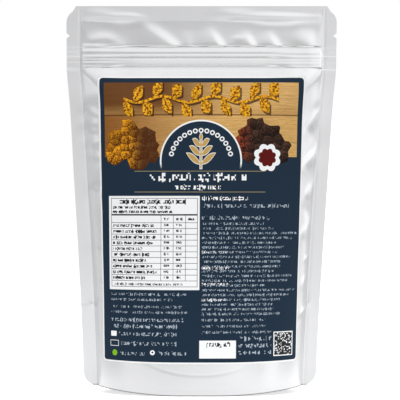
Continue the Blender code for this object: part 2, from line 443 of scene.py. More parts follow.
@dataclass(frozen=True)
class GussetEdge:
    """The step where the gusset film ends: an arc across the panel and two seal creases."""

    form: PouchForm
    step: float
    point_height: float = 45.4
    softness: float = 0.4
    groove_drop: float = 0.2
    groove_width: float = 0.6

    def height_at(self, across: np.ndarray, up: np.ndarray) -> np.ndarray:
        """Height of the doubled film below the arc.

        Args:
            across: Distances across the sheet.
            up: Heights on the sheet.

        Returns:
            Heights in millimetres.
        """
        distance = np.abs(across)
        in_seal = distance > self.form.seal_inner
        limit = np.where(in_seal, self.point_height, self.form.gusset_arc(distance))
        below = 1.0 - smooth(up - limit, -self.softness, self.softness)
        groove = np.exp(-(((up - limit + self.groove_drop) / self.groove_width) ** 2))
        return self.step * (below - groove)


@dataclass(frozen=True)
class Ripple:
    """Low unevenness of the whole film, from a few crossing waves."""

    amount: float
    length: float
    seed: int
    waves: int = 9
    shortest: float = 0.6
    longest: float = 1.7

    def height_at(self, across: np.ndarray, up: np.ndarray) -> np.ndarray:
        """Height of the ripple.

        Args:
            across: Distances across the sheet.
            up: Heights on the sheet.

        Returns:
            Heights in millimetres.
        """
        source = np.random.default_rng(self.seed)
        total = np.zeros(across.shape)
        for _ in range(self.waves):
            angle = source.uniform(0.0, math.tau)
            length = self.length * source.uniform(self.shortest, self.longest)
            phase = source.uniform(0.0, math.tau)
            travel = across * math.cos(angle) + up * math.sin(angle)
            total += np.sin(travel * math.tau / length + phase)
        return self.amount * total / math.sqrt(self.waves)


@dataclass(frozen=True)
class Within:
    """A relief limited to part of the sheet by soft bounds."""

    inner: Relief
    up_range: tuple[float, float]
    distance_range: tuple[float, float]
    fade: float = 2.0

    def height_at(self, across: np.ndarray, up: np.ndarray) -> np.ndarray:
        """Height of the limited relief.

        Args:
            across: Distances across the sheet.
            up: Heights on the sheet.

        Returns:
            Heights in millimetres.
        """
        distance = np.abs(across)
        amount = smooth(up, self.up_range[0] - self.fade, self.up_range[0] + self.fade)
        amount = amount * (1.0 - smooth(up, self.up_range[1] - self.fade, self.up_range[1] + self.fade))
        near, far = self.distance_range
        amount = amount * smooth(distance, near - self.fade, near + self.fade)
        amount = amount * (1.0 - smooth(distance, far - self.fade, far + self.fade))
        return self.inner.height_at(across, up) * amount


@dataclass(frozen=True)
class AboveZip:
    """A header fold that ends at the zip band."""

    inner: Relief
    bottom: float = 178.2
    reach: float = 0.4
    limit: float = 61.0
    fade: float = 5.0

    def height_at(self, across: np.ndarray, up: np.ndarray) -> np.ndarray:
        """Height of the fold.

        Args:
            across: Distances across the sheet.
            up: Heights on the sheet.

        Returns:
            Heights in millimetres.
        """
        amount = smooth(up, self.bottom, self.bottom + self.reach)
        amount = amount * (1.0 - smooth(np.abs(across), self.limit - self.fade, self.limit))
        return self.inner.height_at(across, up) * amount


# Zip ribs: for each height on the sheet, how steeply the film turns outwards going down
RIB_LEVEL = (PouchForm.zip_depth - PouchForm.header_depth) / (PouchForm.zip_top - PouchForm.zip_bottom)
ZIP_RIBS = (
    (180.0, 0.08), (179.2, 0.04), (178.9, -0.08), (178.6, -0.16), (178.3, -0.1), (178.0, 0.12),
    (177.6, 0.25), (177.0, 0.26), (175.9, 0.25), (175.3, 0.06), (174.8, 0.04), (174.4, 0.18),
    (173.9, 0.3), (173.4, 0.16), (173.1, -0.12), (172.9, -0.34), (172.65, -0.34), (172.3, 0.1),
    (171.8, 0.24), (171.1, 0.16), (170.6, 0.16), (170.1, 0.14), (169.6, 0.19), (169.2, 0.08),
    (168.8, -0.1), (168.4, -0.22), (167.9, -0.2), (167.5, -0.06), (167.1, 0.14), (166.6, 0.2),
    (166.2, 0.0),
)
ZIP_RIBS_LEFT = (
    (180.6, 0.0), (179.8, 0.2), (178.9, 0.24), (178.4, 0.0), (178.0, -0.36), (177.6, 0.08),
    (177.3, 0.32), (176.3, 0.32), (175.8, 0.16), (175.3, 0.02), (174.8, 0.14), (174.3, 0.12),
    (173.7, 0.32), (173.2, 0.28), (172.9, -0.1), (172.6, -0.34), (172.2, 0.0), (171.7, 0.32),
    (171.2, -0.02), (170.6, 0.24), (170.1, 0.24), (169.6, 0.04), (169.1, 0.06), (168.5, 0.22),
    (168.0, 0.14), (167.6, -0.45), (167.2, -0.36), (166.8, 0.16), (166.3, 0.0),
)
ZIP_RIBS_RIGHT = (
    (180.0, 0.08), (178.6, 0.0), (178.2, -0.3), (177.8, 0.06), (177.4, 0.2), (175.4, 0.24),
    (174.8, 0.14), (174.3, 0.06), (173.8, 0.18), (173.2, 0.26), (172.6, 0.14), (172.2, -0.1),
    (171.7, 0.22), (171.2, 0.2), (170.6, 0.1), (170.1, 0.22), (169.6, 0.2), (169.0, 0.08),
    (168.5, 0.12), (168.0, 0.24), (167.6, 0.0), (167.0, -0.55), (166.5, 0.08), (166.1, 0.0),
)
CRUSHED_RIBS = (
    (178.8, 0.0), (177.9, -0.12), (177.4, 0.18), (176.6, -0.02), (175.4, -0.16), (174.9, 0.22),
    (174.2, -0.14), (173.3, 0.32), (172.7, -0.1), (171.4, 0.05), (170.2, -0.14), (169.6, 0.14),
    (168.0, -0.02), (166.9, -0.16), (166.3, 0.5), (165.9, -0.1), (165.2, 0.0),
)


def zip_ribs() -> tuple[Relief, ...]:
    """Ribs of the zip band: its middle, its two ends and the crushed part in the seals.

    Returns:
        The reliefs, to be added up.
    """
    return (
        SlopeProfile(ZIP_RIBS, (-46.0, 40.0), (9.0, 9.0), RIB_LEVEL),
        SlopeProfile(ZIP_RIBS_LEFT, (-62.0, -46.0), (0.8, 9.0), 0.4 * RIB_LEVEL),
        SlopeProfile(ZIP_RIBS_RIGHT, (40.0, 62.0), (9.0, 0.8), 0.4 * RIB_LEVEL),
        SlopeProfile(CRUSHED_RIBS, (-90.0, -62.6), (0.6, 0.6)),
        SlopeProfile(CRUSHED_RIBS, (62.6, 90.0), (0.6, 0.6)),
    )


def front_relief(form: PouchForm) -> tuple[Relief, ...]:
    """Creases, puckers and ribs of the front film.

    Args:
        form: Shape of the pouch.

    Returns:
        The reliefs, to be added up.
    """
    folds = (
        Stroke(
            ((-40.0, 194.6), (-34.0, 191.8), (-28.4, 187.2), (-23.0, 183.8), (-18.8, 181.2), (-15.0, 178.4)),
            0.56, 2.8, 7.0, 0.15, 1.0, False, 0.6,
        ),
        Stroke(((-7.0, 187.5), (-7.4, 178.4)), 0.16, 1.9, 2.8, 0.0, 1.0, False, 0.5),
        Stroke(
            ((0.6, 189.6), (4.4, 184.6), (7.6, 180.9), (9.8, 178.2)),
            0.60, 1.9, 5.0, 0.0, 1.0, False, 0.8,
        ),
        Stroke(((16.6, 182.8), (23.0, 183.0)), 0.16, 0.9, 2.4, 0.3, 0.6),
        Stroke(
            ((20.2, 187.6), (22.8, 182.6), (24.6, 180.4), (26.2, 178.2)),
            0.60, 1.8, 4.6, 0.0, 1.0, False, 0.8,
        ),
        Stroke(
            ((32.0, 187.6), (35.2, 182.4), (37.0, 180.4), (38.6, 178.2)),
            0.60, 1.8, 4.6, 0.0, 1.0, False, 0.8,
        ),
        Stroke(
            ((44.0, 185.4), (50.0, 182.4), (55.0, 180.0), (60.5, 177.4)),
            0.66, 4.4, 3.8, 0.15, 1.0, False, 0.4,
        ),
    )
    arc = Stroke(
        ((-61.2, 179.3), (-57.5, 181.2), (-53.0, 182.3), (-49.2, 182.4), (-45.8, 181.4), (-42.4, 179.2)),
        0.34, 2.8, 2.6, 0.15, 0.4,
    )
    top_seal = (
        Stroke(((-54.0, 194.0), (-38.0, 194.2), (-26.0, 193.0)), 0.46, 1.5, 3.6, 0.1, 0.1),
        Stroke(((18.0, 194.0), (34.0, 194.1), (60.0, 193.4)), 0.84, 1.6, 3.6, 0.1, 0.4),
        Within(Stroke(((-53.0, 199.4), (-53.0, 190.0)), 0.40, 9.0, 8.0), (192.0, 205.0), (-9.0, 62.0), 3.0),
        Within(Stroke(((17.0, 199.4), (17.0, 190.0)), 0.50, 10.0, 9.0), (192.0, 205.0), (-9.0, 62.0), 3.0),
    )
    left_side = (
        Stroke(
            ((-62.6, 166.4), (-57.8, 161.6), (-53.0, 156.4), (-50.0, 153.0)),
            0.30, 5.0, 2.6, 0.6, 0.0, True,
        ),
        Stroke(
            ((-61.8, 144.2), (-60.0, 145.0), (-57.0, 143.2), (-54.8, 141.0), (-52.6, 138.0)),
            0.80, 3.2, 5.0, 0.5, 0.4,
        ),
        Stroke(
            ((-61.8, 134.6), (-60.6, 135.3), (-57.4, 133.4), (-53.0, 129.8)),
            0.96, 3.4, 5.2, 0.5, 0.4,
        ),
        Stroke(
            ((-61.2, 126.0), (-58.4, 126.6), (-55.2, 124.4), (-52.6, 121.0)),
            0.60, 2.4, 4.0, 0.4, 0.4,
        ),
        Stroke(((-60.2, 119.2), (-56.8, 119.4), (-52.8, 116.0)), 0.36, 2.0, 4.2, 0.4, 0.4),
        Stroke(((-60.4, 103.2), (-57.4, 104.0), (-52.8, 101.6)), 0.72, 2.8, 5.4, 0.4, 0.5),
        Stroke(((-61.4, 73.2), (-52.5, 73.0)), 0.16, 1.4, 5.0, 0.7, 0.6),
        Bump((-56.6, 64.6), (3.0, 2.6), -0.12, -30.0),
        Stroke(((-59.6, 57.2), (-53.5, 55.6)), 0.16, 1.6, 3.4, 0.4, 0.5),
        Stroke(((-54.0, 54.6), (-58.1, 49.4), (-62.0, 45.6)), -0.24, 1.6, 1.4, 0.4, 0.9),
        Stroke(((-64.0, 45.2), (-60.9, 43.9), (-58.4, 42.4)), 0.34, 0.8, 0.9, 0.9, 0.0, True),
    )
    right_side = (
        Stroke(((63.2, 166.4), (57.8, 160.4), (52.0, 154.4)), 0.34, 1.6, 5.0, 0.6, 0.0, True),
        Bump((59.5, 151.0), (6.0, 8.0), 0.75),
        Stroke(
            ((63.2, 144.6), (61.0, 143.4), (58.2, 140.2), (54.6, 134.8)),
            0.60, 4.6, 1.8, 0.5, 0.4,
        ),
        Bump((58.6, 132.4), (2.4, 3.6), -0.16, 20.0),
        Stroke(
            ((63.0, 125.2), (61.8, 123.6), (58.6, 120.4), (54.6, 115.8)),
            0.60, 4.6, 1.8, 0.5, 0.4,
        ),
        Stroke(((62.0, 107.0), (59.6, 104.6), (56.0, 99.0)), 0.40, 3.4, 1.8, 0.3, 0.3),
        Bump((59.0, 92.8), (2.4, 3.8), -0.24, 10.0),
        Stroke(((60.0, 86.6), (57.0, 83.6), (54.0, 78.6)), 0.36, 3.4, 1.6, 0.3, 0.3),
        Stroke(((62.4, 70.6), (60.0, 69.0), (57.4, 67.2)), 0.26, 1.2, 0.9, 0.7, 0.2),
        Stroke(((60.5, 60.0), (57.5, 56.6), (54.0, 52.0)), 0.20, 2.6, 1.4, 0.3, 0.3),
        Stroke(
            ((64.0, 45.4), (62.6, 44.2), (58.2, 41.6), (54.0, 37.6)),
            0.42, 0.9, 1.1, 0.9, 0.0, True,
        ),
        Stroke(((31.8, 17.0), (31.8, 0.0)), 0.22, 4.0, 4.0, 0.4, 1.0),
    )
    whole = (
        SealStep(-63.2, 63.8, 0.10, 198.0),
        GussetEdge(form, 0.035),
        Within(Ripple(0.04, 26.0, 11), (20.0, 165.0), (50.0, 62.0), 3.0),
        Ripple(0.03, 60.0, 5),
    )
    header = tuple(AboveZip(fold) for fold in folds)
    return header + (arc,) + top_seal + left_side + right_side + zip_ribs() + whole


def back_relief(form: PouchForm) -> tuple[Relief, ...]:
    """Creases, puckers and ribs of the back film.

    Args:
        form: Shape of the pouch.

    Returns:
        The reliefs, to be added up.
    """
    strokes = []
    source = np.random.default_rng(41)
    for side in (-1.0, 1.0):
        zip_corner = ((side * 62.9, 165.8), (side * 57.0, 160.0), (side * 50.0, 152.0))
        strokes.append(Stroke(zip_corner, 0.5, 3.4, 3.4, 0.6, 0.0, True))
        gusset_corner = ((side * 62.6, 44.8), (side * 60.6, 42.4), (side * 58.0, 39.8))
        strokes.append(Stroke(gusset_corner, 0.3, 0.8, 0.8, 0.9, 0.0, True))
        for up in np.arange(62.0, 150.0, 9.5):
            middle = up + source.uniform(-2.5, 2.5)
            fall = source.uniform(3.0, 9.0)
            height = source.uniform(0.16, 0.34) * source.choice((-1.0, 1.0))
            start, bend = (side * 62.4, middle), (side * 57.0, middle - 0.4 * fall)
            end = (side * source.uniform(46.0, 52.0), middle - fall)
            strokes.append(Stroke((start, bend, end), float(height), 1.6, 2.0, 0.4, 0.0))
    for across in (-44.0, -21.0, -6.0, 14.0, 33.0, 47.0):
        shift = source.uniform(-6.0, 6.0)
        path = ((across + shift, 189.5), (across, 178.6))
        strokes.append(Stroke(path, float(source.uniform(0.3, 0.5)), 1.8, 2.2, 0.1, 1.0))
    whole = (
        SealStep(-63.2, 63.8, 0.10, 198.0),
        GussetEdge(form, 0.035),
        Within(Ripple(0.22, 34.0, 17), (30.0, 150.0), (-9.0, 52.0), 6.0),
        Ripple(0.03, 60.0, 8),
    )
    return tuple(strokes) + zip_ribs() + whole


# Meshes


@dataclass
class ClosedSheet:
    """A thin film as one closed mesh: an outer and an inner grid joined by a rim."""

    outer: np.ndarray
    inner: np.ndarray
    flip: bool

    def _faces(self) -> np.ndarray:
        """Corner indices of every quad.

        Returns:
            One row of four indices for each face: outer, inner, then the rim.
        """
        rows, columns = self.outer.shape[:2]
        index = np.arange(rows * columns).reshape(rows, columns)
        low_left, low_right = index[:-1, :-1], index[:-1, 1:]
        high_left, high_right = index[1:, :-1], index[1:, 1:]
        outer = np.stack([low_left, low_right, high_right, high_left], axis=-1).reshape(-1, 4)
        inner = outer[:, ::-1] + rows * columns
        loop = np.concatenate([index[0, :-1], index[:-1, -1], index[-1, :0:-1], index[:0:-1, 0]])
        after = np.roll(loop, -1)
        rim = np.stack([after, loop, loop + rows * columns, after + rows * columns], axis=-1)
        faces = np.concatenate([outer, inner, rim])
        return faces[:, ::-1] if self.flip else faces

    def build(self, name: str, sheet: np.ndarray) -> bpy.types.Object:
        """Make the mesh object.

        Args:
            name: Name of the object.
            sheet: Sheet coordinates for each grid point, rows by columns by 2.

        Returns:
            The new object, linked to the scene.
        """
        points = np.concatenate([self.outer.reshape(-1, 3), self.inner.reshape(-1, 3)]) * MM
        mesh = bpy.data.meshes.new(name)
        mesh.from_pydata(points.tolist(), [], self._faces().tolist())
        mesh.shade_smooth()
        mesh.set_sharp_from_angle(angle=math.radians(60.0))
        flat = np.zeros((points.shape[0], 3), dtype=np.float32)
        flat[:, :2] = np.tile(sheet.reshape(-1, 2), (2, 1))
        attribute = mesh.attributes.new(SHEET_ATTRIBUTE, "FLOAT_VECTOR", "POINT")
        attribute.data.foreach_set("vector", flat.ravel())
        mesh.validate()
        piece = bpy.data.objects.new(name, mesh)
        bpy.context.scene.collection.objects.link(piece)
        return piece


def stations(*spans: tuple[float, float, float]) -> np.ndarray:
    """Stations along a line, with a step of its own for each span.

    Args:
        spans: For each span its start, its end and the greatest step.

    Returns:
        The stations in order, each once.
    """
    values = []
    for start, end, step in spans:
        cells = max(1, math.ceil((end - start) / step))
        values.extend(np.linspace(start, end, cells, endpoint=False))
    values.append(spans[-1][1])
    return np.array(values)


@dataclass
class FilmPanel:
    """Front or back film of the pouch, with its relief."""

    form: PouchForm
    name: str
    face: Face
    relief: tuple[Relief, ...]
    film: float = 0.16
    coarse: float = 1.0
    trim_from: float = 65.0
    covered: tuple[float, float, float] | None = None

    def surface(self, across: np.ndarray, up: np.ndarray) -> tuple[np.ndarray, np.ndarray]:
        """Middle of the film and its outward direction over a grid.

        Args:
            across: Distances across the sheet, as a grid.
            up: Heights on the sheet, as a grid.

        Returns:
            Points with the relief added, and their normals.
        """
        flip = self.face is Face.BACK
        base = self.form.place(across, up, self.face)
        height = sum(part.height_at(across, up) for part in self.relief)
        if self.covered is not None:
            half, low, high = self.covered
            inside = np.minimum(half - np.abs(across), np.minimum(up - low, high - up))
            height = height * (1.0 - 0.85 * smooth(inside, -1.0, 4.0))
        points = base + outward_normals(base, flip) * height[..., None]
        return points, outward_normals(points, flip)

    def build(self) -> bpy.types.Object:
        """Make the film.

        Returns:
            The film's object.
        """
        form, coarse = self.form, self.coarse
        inner = stations((0.0, 50.0, 1.0 * coarse), (50.0, 61.5, 0.6 * coarse), (61.5, 64.5, 0.3))
        seal = np.linspace(2.2, form.half_width - form.seal_inner, 6)
        columns = np.concatenate([inner, form.seal_inner + seal])
        columns = np.concatenate([-columns[:0:-1], columns])
        rows = stations(
            (0.0, 9.0, 0.75 * coarse),
            (9.0, 18.0, 0.5 * coarse),
            (18.0, 40.0, 1.2 * coarse),
            (40.0, 46.0, 0.5),
            (46.0, 150.0, 0.95 * coarse),
            (150.0, 165.0, 0.7 * coarse),
            (165.0, 179.4, 0.26),
            (179.4, 182.7, 0.6),
            (182.7, 184.0, 0.65),
            (184.0, 185.3, 0.65),
            (185.3, 191.0, 0.65 * coarse),
            (191.0, form.height, 0.5),
        )
        across, up = np.meshgrid(columns, rows)
        edge = np.array([form.edge(value) for value in rows])[:, None]
        distance = np.abs(across)
        held = self.trim_from
        share = (distance - held) / (form.half_width - held)
        trimmed = np.where(distance > held, held + share * (edge - held), distance)
        trimmed = np.minimum(trimmed, edge - (form.half_width - distance) * 0.02)
        across = np.sign(across) * trimmed
        points, normals = self.surface(across, up)
        half = self.film / 2.0
        sheet = ClosedSheet(points + normals * half, points - normals * half, self.face is Face.BACK)
        return sheet.build(self.name, np.stack([across, up], axis=-1))


@dataclass
class Gusset:
    """Bottom film: folded up along the middle, welded to both panels below an arc."""

    form: PouchForm
    film: float = 0.16
    seal_gap: float = 0.18
    lobe_flat: float = 22.0
    lobe_rise: float = 44.0
    fold_middle: float = 12.0
    fold_rise: float = 32.9

    def _flange(self, across: np.ndarray, share: np.ndarray, face: Face) -> np.ndarray:
        """Points of the part that is welded to a panel.

        Args:
            across: Distances across the sheet.
            share: 0 at the lower edge, 1 at the arc seal.
            face: Front or back panel.

        Returns:
            Points in millimetres.
        """
        up = 0.3 + (self.form.gusset_arc(np.abs(across)) - 0.3) * share
        points = self.form.place(across, up, face)
        return points - outward_normals(points, face is Face.BACK) * self.seal_gap

    def build(self) -> bpy.types.Object:
        """Make the gusset film.

        Returns:
            The gusset's object.
        """
        columns = stations((0.0, 50.0, 1.6), (50.0, 62.6, 0.7))
        columns = np.concatenate([-columns[:0:-1], columns])
        weld = np.linspace(0.0, 1.0, 9)
        parts = []
        for face in (Face.FRONT, Face.BACK):
            across, share = np.meshgrid(columns, weld)
            flange = self._flange(across, share, face)
            edge = flange[-1]
            floor_share = np.linspace(1.0, 0.0, 33)[1:]
            across, share = np.meshgrid(columns, floor_share)
            parts.append(np.concatenate([flange, self._floor(across, share, edge)]))
        points = np.concatenate([parts[0], parts[1][:-1][::-1]])
        normals = outward_normals(points, False)
        sheet = ClosedSheet(points + normals * self.film / 2, points - normals * self.film / 2, False)
        rows = np.linspace(0.0, 100.0, points.shape[0])
        return sheet.build("gusset_film_sheet", np.stack(np.meshgrid(columns, rows), axis=-1))

    def _floor(self, across: np.ndarray, share: np.ndarray, edge: np.ndarray) -> np.ndarray:
        """Points between an arc seal and the middle fold.

        Args:
            across: Distances across the sheet, as a grid.
            share: 1 at the arc seal, 0 at the fold, as a grid.
            edge: Points of the arc seal, one for each column.

        Returns:
            Points in millimetres.
        """
        distance = np.abs(across)
        seal = self.form.seal_inner
        lobe = np.maximum(distance - self.lobe_flat, 0.0) / (seal - self.lobe_flat)
        lobe = self.lobe_rise * lobe**1.6 + self.film / 2
        fold = self.fold_middle + self.fold_rise * (distance / seal) ** 1.5
        near_fold = (fold - lobe) * smooth(0.3 - share, 0.0, 0.3)
        climb = np.maximum(share - 0.7, 0.0) / 0.3
        near_arc = (edge[:, 2] - lobe) * climb * climb
        wrinkle = 0.25 * np.sin(across * 0.55 + share * 9.0) * smooth(share, 0.1, 0.3)
        wrinkle = wrinkle * (1.0 - smooth(share, 0.6, 0.8))
        height = lobe + near_fold + near_arc + np.abs(wrinkle) * smooth(distance, 10.0, 30.0)
        return np.stack([np.broadcast_to(edge[:, 0], share.shape), edge[:, 1] * share, height], axis=-1)


@dataclass
class Label:
    """Printed label on the front film."""

    panel: FilmPanel
    half_width: float = 53.5
    bottom: float = 16.1
    top: float = 162.6
    corner: float = 2.3
    corner_columns: float = 8.0
    paper: float = 0.14
    stand_off: float = 0.20

    def build(self) -> bpy.types.Object:
        """Make the label, with a bake map in which its front face fills the square.

        Returns:
            The label's object.
        """
        inner = self.half_width - 3.0
        columns = stations((0.0, inner, 1.4), (inner, self.half_width, 0.5))
        columns = np.concatenate([-columns[:0:-1], columns])
        rows = stations(
            (self.bottom, self.bottom + 3.0, 0.4),
            (self.bottom + 3.0, self.top - 3.0, 1.3),
            (self.top - 3.0, self.top, 0.4),
        )
        across, up = np.meshgrid(columns, rows)
        nearest = np.minimum(up - self.bottom, self.top - up)
        rise = np.maximum(self.corner - nearest, 0.0)
        edge = self.half_width - self.corner + np.sqrt(np.maximum(self.corner**2 - rise**2, 0.0))
        held = self.half_width - self.corner_columns
        beyond = np.maximum(np.abs(across) - held, 0.0) * (edge - held) / (self.half_width - held)
        across = np.sign(across) * (np.minimum(np.abs(across), held) + beyond)
        points, normals = self.panel.surface(across, up)
        outer = points + normals * (self.stand_off + self.paper / 2)
        inner = points + normals * (self.stand_off - self.paper / 2)
        sheet = np.stack([across, up], axis=-1)
        piece = ClosedSheet(outer, inner, False).build("printed_label", sheet)
        self._map_for_baking(piece.data, across.shape)
        return piece

    def _map_for_baking(self, mesh: bpy.types.Mesh, shape: tuple[int, int]) -> None:
        """Lay the front face over nearly the whole square and the rest in a strip.

        Args:
            mesh: The label's mesh.
            shape: Rows and columns of the grid.
        """
        rows, columns = shape
        count = rows * columns
        corners = np.zeros(len(mesh.loops), dtype=np.int64)
        mesh.loops.foreach_get("vertex_index", corners)
        grid = corners % count
        u_share = (grid % columns) / (columns - 1)
        v_share = (grid // columns) / (rows - 1)
        front_faces = (rows - 1) * (columns - 1)
        is_front = np.arange(len(corners)) < front_faces * 4
        is_inner = corners >= count
        margin, face_width, strip_start, strip_width, inner_shift = 0.005, 0.973, 0.984, 0.012, 0.003
        strip_u = strip_start + strip_width * u_share + np.where(is_inner, inner_shift, 0.0)
        coordinates = np.empty((len(corners), 2), dtype=np.float32)
        coordinates[:, 0] = np.where(is_front, margin + face_width * u_share, strip_u)
        coordinates[:, 1] = margin + (1.0 - 2.0 * margin) * v_share
        layer = mesh.uv_layers.new(name="OFBake")
        layer.data.foreach_set("uv", coordinates.ravel())


# Shader graph


class Graph:
    """Adds nodes to one tree and links them by value."""

    def __init__(self, tree: bpy.types.NodeTree) -> None:
        """Keep the tree that the nodes go into."""
        self.tree = tree

    def add(self, kind: str, **settings: object) -> bpy.types.Node:
        """Add a node.

        Args:
            kind: Node type name.
            settings: Properties to set on it.

        Returns:
            The node.
        """
        node = self.tree.nodes.new(kind)
        for name, value in settings.items():
            setattr(node, name, value)
        return node

    def feed(self, socket: Socket, value: object) -> None:
        """Link a socket to another, or set it to a constant.

        Args:
            socket: The input to fill.
            value: An output socket, a number or a tuple.
        """
        if isinstance(value, bpy.types.NodeSocket):
            self.tree.links.new(value, socket)
        elif isinstance(value, tuple) and socket.type == "RGBA" and len(value) == 3:
            socket.default_value = (*value, 1.0)
        else:
            socket.default_value = value

    def math(self, operation: str, *values: object, clamp: bool = False) -> Socket:
        """Add a maths node and return its output.

        Args:
            operation: Operation name.
            values: Inputs in order.
            clamp: Limit the result to 0..1.

        Returns:
            The output socket.
        """
        node = self.add("ShaderNodeMath", operation=operation, use_clamp=clamp)
        for socket, value in zip(node.inputs, values):
            self.feed(socket, value)
        return node.outputs[0]

    def plus(self, first: object, second: object, clamp: bool = False) -> Socket:
        """First plus second."""
        return self.math("ADD", first, second, clamp=clamp)

    def minus(self, first: object, second: object, clamp: bool = False) -> Socket:
        """First minus second."""
        return self.math("SUBTRACT", first, second, clamp=clamp)

    def times(self, first: object, second: object, clamp: bool = False) -> Socket:
        """First times second."""
        return self.math("MULTIPLY", first, second, clamp=clamp)

    def over(self, first: object, second: object) -> Socket:
        """First divided by second."""
        return self.math("DIVIDE", first, second)

    def scale_add(self, value: object, factor: object, shift: object, clamp: bool = False) -> Socket:
        """Value times factor, plus shift."""
        return self.math("MULTIPLY_ADD", value, factor, shift, clamp=clamp)

    def size(self, value: object) -> Socket:
        """Value without its sign."""
        return self.math("ABSOLUTE", value)

    def larger(self, first: object, second: object) -> Socket:
        """The larger of two values."""
        return self.math("MAXIMUM", first, second)

    def smaller(self, first: object, second: object) -> Socket:
        """The smaller of two values."""
        return self.math("MINIMUM", first, second)

    def above(self, value: object, limit: object) -> Socket:
        """1 where the value is above the limit, otherwise 0."""
        return self.math("GREATER_THAN", value, limit)

    def below(self, value: object, limit: object) -> Socket:
        """1 where the value is below the limit, otherwise 0."""
        return self.math("LESS_THAN", value, limit)

    def between(self, value: object, low: object, high: object) -> Socket:
        """Mask of the values between two limits.

        Args:
            value: The value.
            low: Lower limit.
            high: Upper limit.

        Returns:
            1 between the limits, 0 outside.
        """
        return self.times(self.above(value, low), self.below(value, high))

    def length(self, first: object, second: object) -> Socket:
        """Length of a flat vector.

        Args:
            first: One part.
            second: The other part.

        Returns:
            The length.
        """
        return self.math("SQRT", self.scale_add(first, first, self.times(second, second)))

    def split(self, vector: Socket) -> tuple[Socket, Socket, Socket]:
        """Separate a vector into its parts.

        Args:
            vector: The vector.

        Returns:
            Its x, y and z outputs.
        """
        node = self.add("ShaderNodeSeparateXYZ")
        self.feed(node.inputs[0], vector)
        return node.outputs[0], node.outputs[1], node.outputs[2]

    def join(self, x: object, y: object, z: object = 0.0) -> Socket:
        """Combine three values into a vector.

        Args:
            x: First part.
            y: Second part.
            z: Third part.

        Returns:
            The vector output.
        """
        node = self.add("ShaderNodeCombineXYZ")
        for socket, value in zip(node.inputs, (x, y, z)):
            self.feed(socket, value)
        return node.outputs[0]

    def mix(self, share: object, first: object, second: object) -> Socket:
        """Mix two colours.

        Args:
            share: 0 gives the first, 1 the second.
            first: Colour or socket.
            second: Colour or socket.

        Returns:
            The mixed colour.
        """
        node = self.add("ShaderNodeMix", data_type="RGBA")
        self.feed(node.inputs["Factor"], share)
        self.feed(node.inputs[6], first)
        self.feed(node.inputs[7], second)
        return node.outputs[2]

    def noise(self, vector: object, scale: float, detail: float = 2.0, rough: float = 0.5) -> Socket:
        """Add a noise texture.

        Args:
            vector: Where it is read.
            scale: Scale of the noise.
            detail: Octaves.
            rough: Roughness of the octaves.

        Returns:
            The noise value.
        """
        node = self.add("ShaderNodeTexNoise")
        self.feed(node.inputs["Vector"], vector)
        node.inputs["Scale"].default_value = scale
        node.inputs["Detail"].default_value = detail
        node.inputs["Roughness"].default_value = rough
        return node.outputs[0]

    def random(self, first: object, second: object, seed: object) -> Socket:
        """Random value for a cell: the fraction of a sine made large.

        A white noise node would keep the places of its unread outputs in the compiled
        shader's stack.

        Args:
            first: Index of the cell one way.
            second: Index of the cell the other way.
            seed: Tells this value from others.

        Returns:
            A value from 0 to 1.
        """
        key = self.scale_add(first, 12.9898, self.scale_add(second, 78.233, seed))
        return self.math("FRACT", self.times(self.math("SINE", key), 43758.5453))

    def ramp(self, value: object, low: float, high: float, start: float = 0.0, end: float = 1.0) -> Socket:
        """Map a value from one range to another, with smooth ends.

        Args:
            value: The value.
            low: Where the result is start.
            high: Where the result is end.
            start: Result at low.
            end: Result at high.

        Returns:
            The mapped value.
        """
        node = self.add("ShaderNodeMapRange", interpolation_type="SMOOTHSTEP")
        names = ("Value", "From Min", "From Max", "To Min", "To Max")
        for name, part in zip(names, (value, low, high, start, end)):
            self.feed(node.inputs[name], part)
        return node.outputs[0]

    def group(self, tree: bpy.types.NodeTree, **values: object) -> bpy.types.Node:
        """Add an instance of a node group.

        Args:
            tree: The group.
            values: Inputs by socket name, with _ for a space.

        Returns:
            The group node.
        """
        node = self.add("ShaderNodeGroup", node_tree=tree)
        for name, value in values.items():
            self.feed(node.inputs[name.replace("_", " ")], value)
        return node


@dataclass
class GroupSpec:
    """A shader node group under construction, with named sockets."""

    name: str
    inputs: dict[str, object]
    outputs: dict[str, str]

    def open(self) -> tuple[bpy.types.NodeTree, Graph, dict[str, Socket], bpy.types.Node]:
        """Create the group's tree and sockets.

        Returns:
            The tree, its graph, the input sockets by name and the output node.
        """
        tree = bpy.data.node_groups.new(self.name, "ShaderNodeTree")
        for name, default in self.inputs.items():
            socket = tree.interface.new_socket(name, in_out="INPUT", socket_type=FLOAT_SOCKET)
            socket.default_value = default
        for name, kind in self.outputs.items():
            tree.interface.new_socket(name, in_out="OUTPUT", socket_type=kind)
        graph = Graph(tree)
        entry = graph.add("NodeGroupInput")
        leave = graph.add("NodeGroupOutput")
        return tree, graph, {socket.name: socket for socket in entry.outputs}, leave


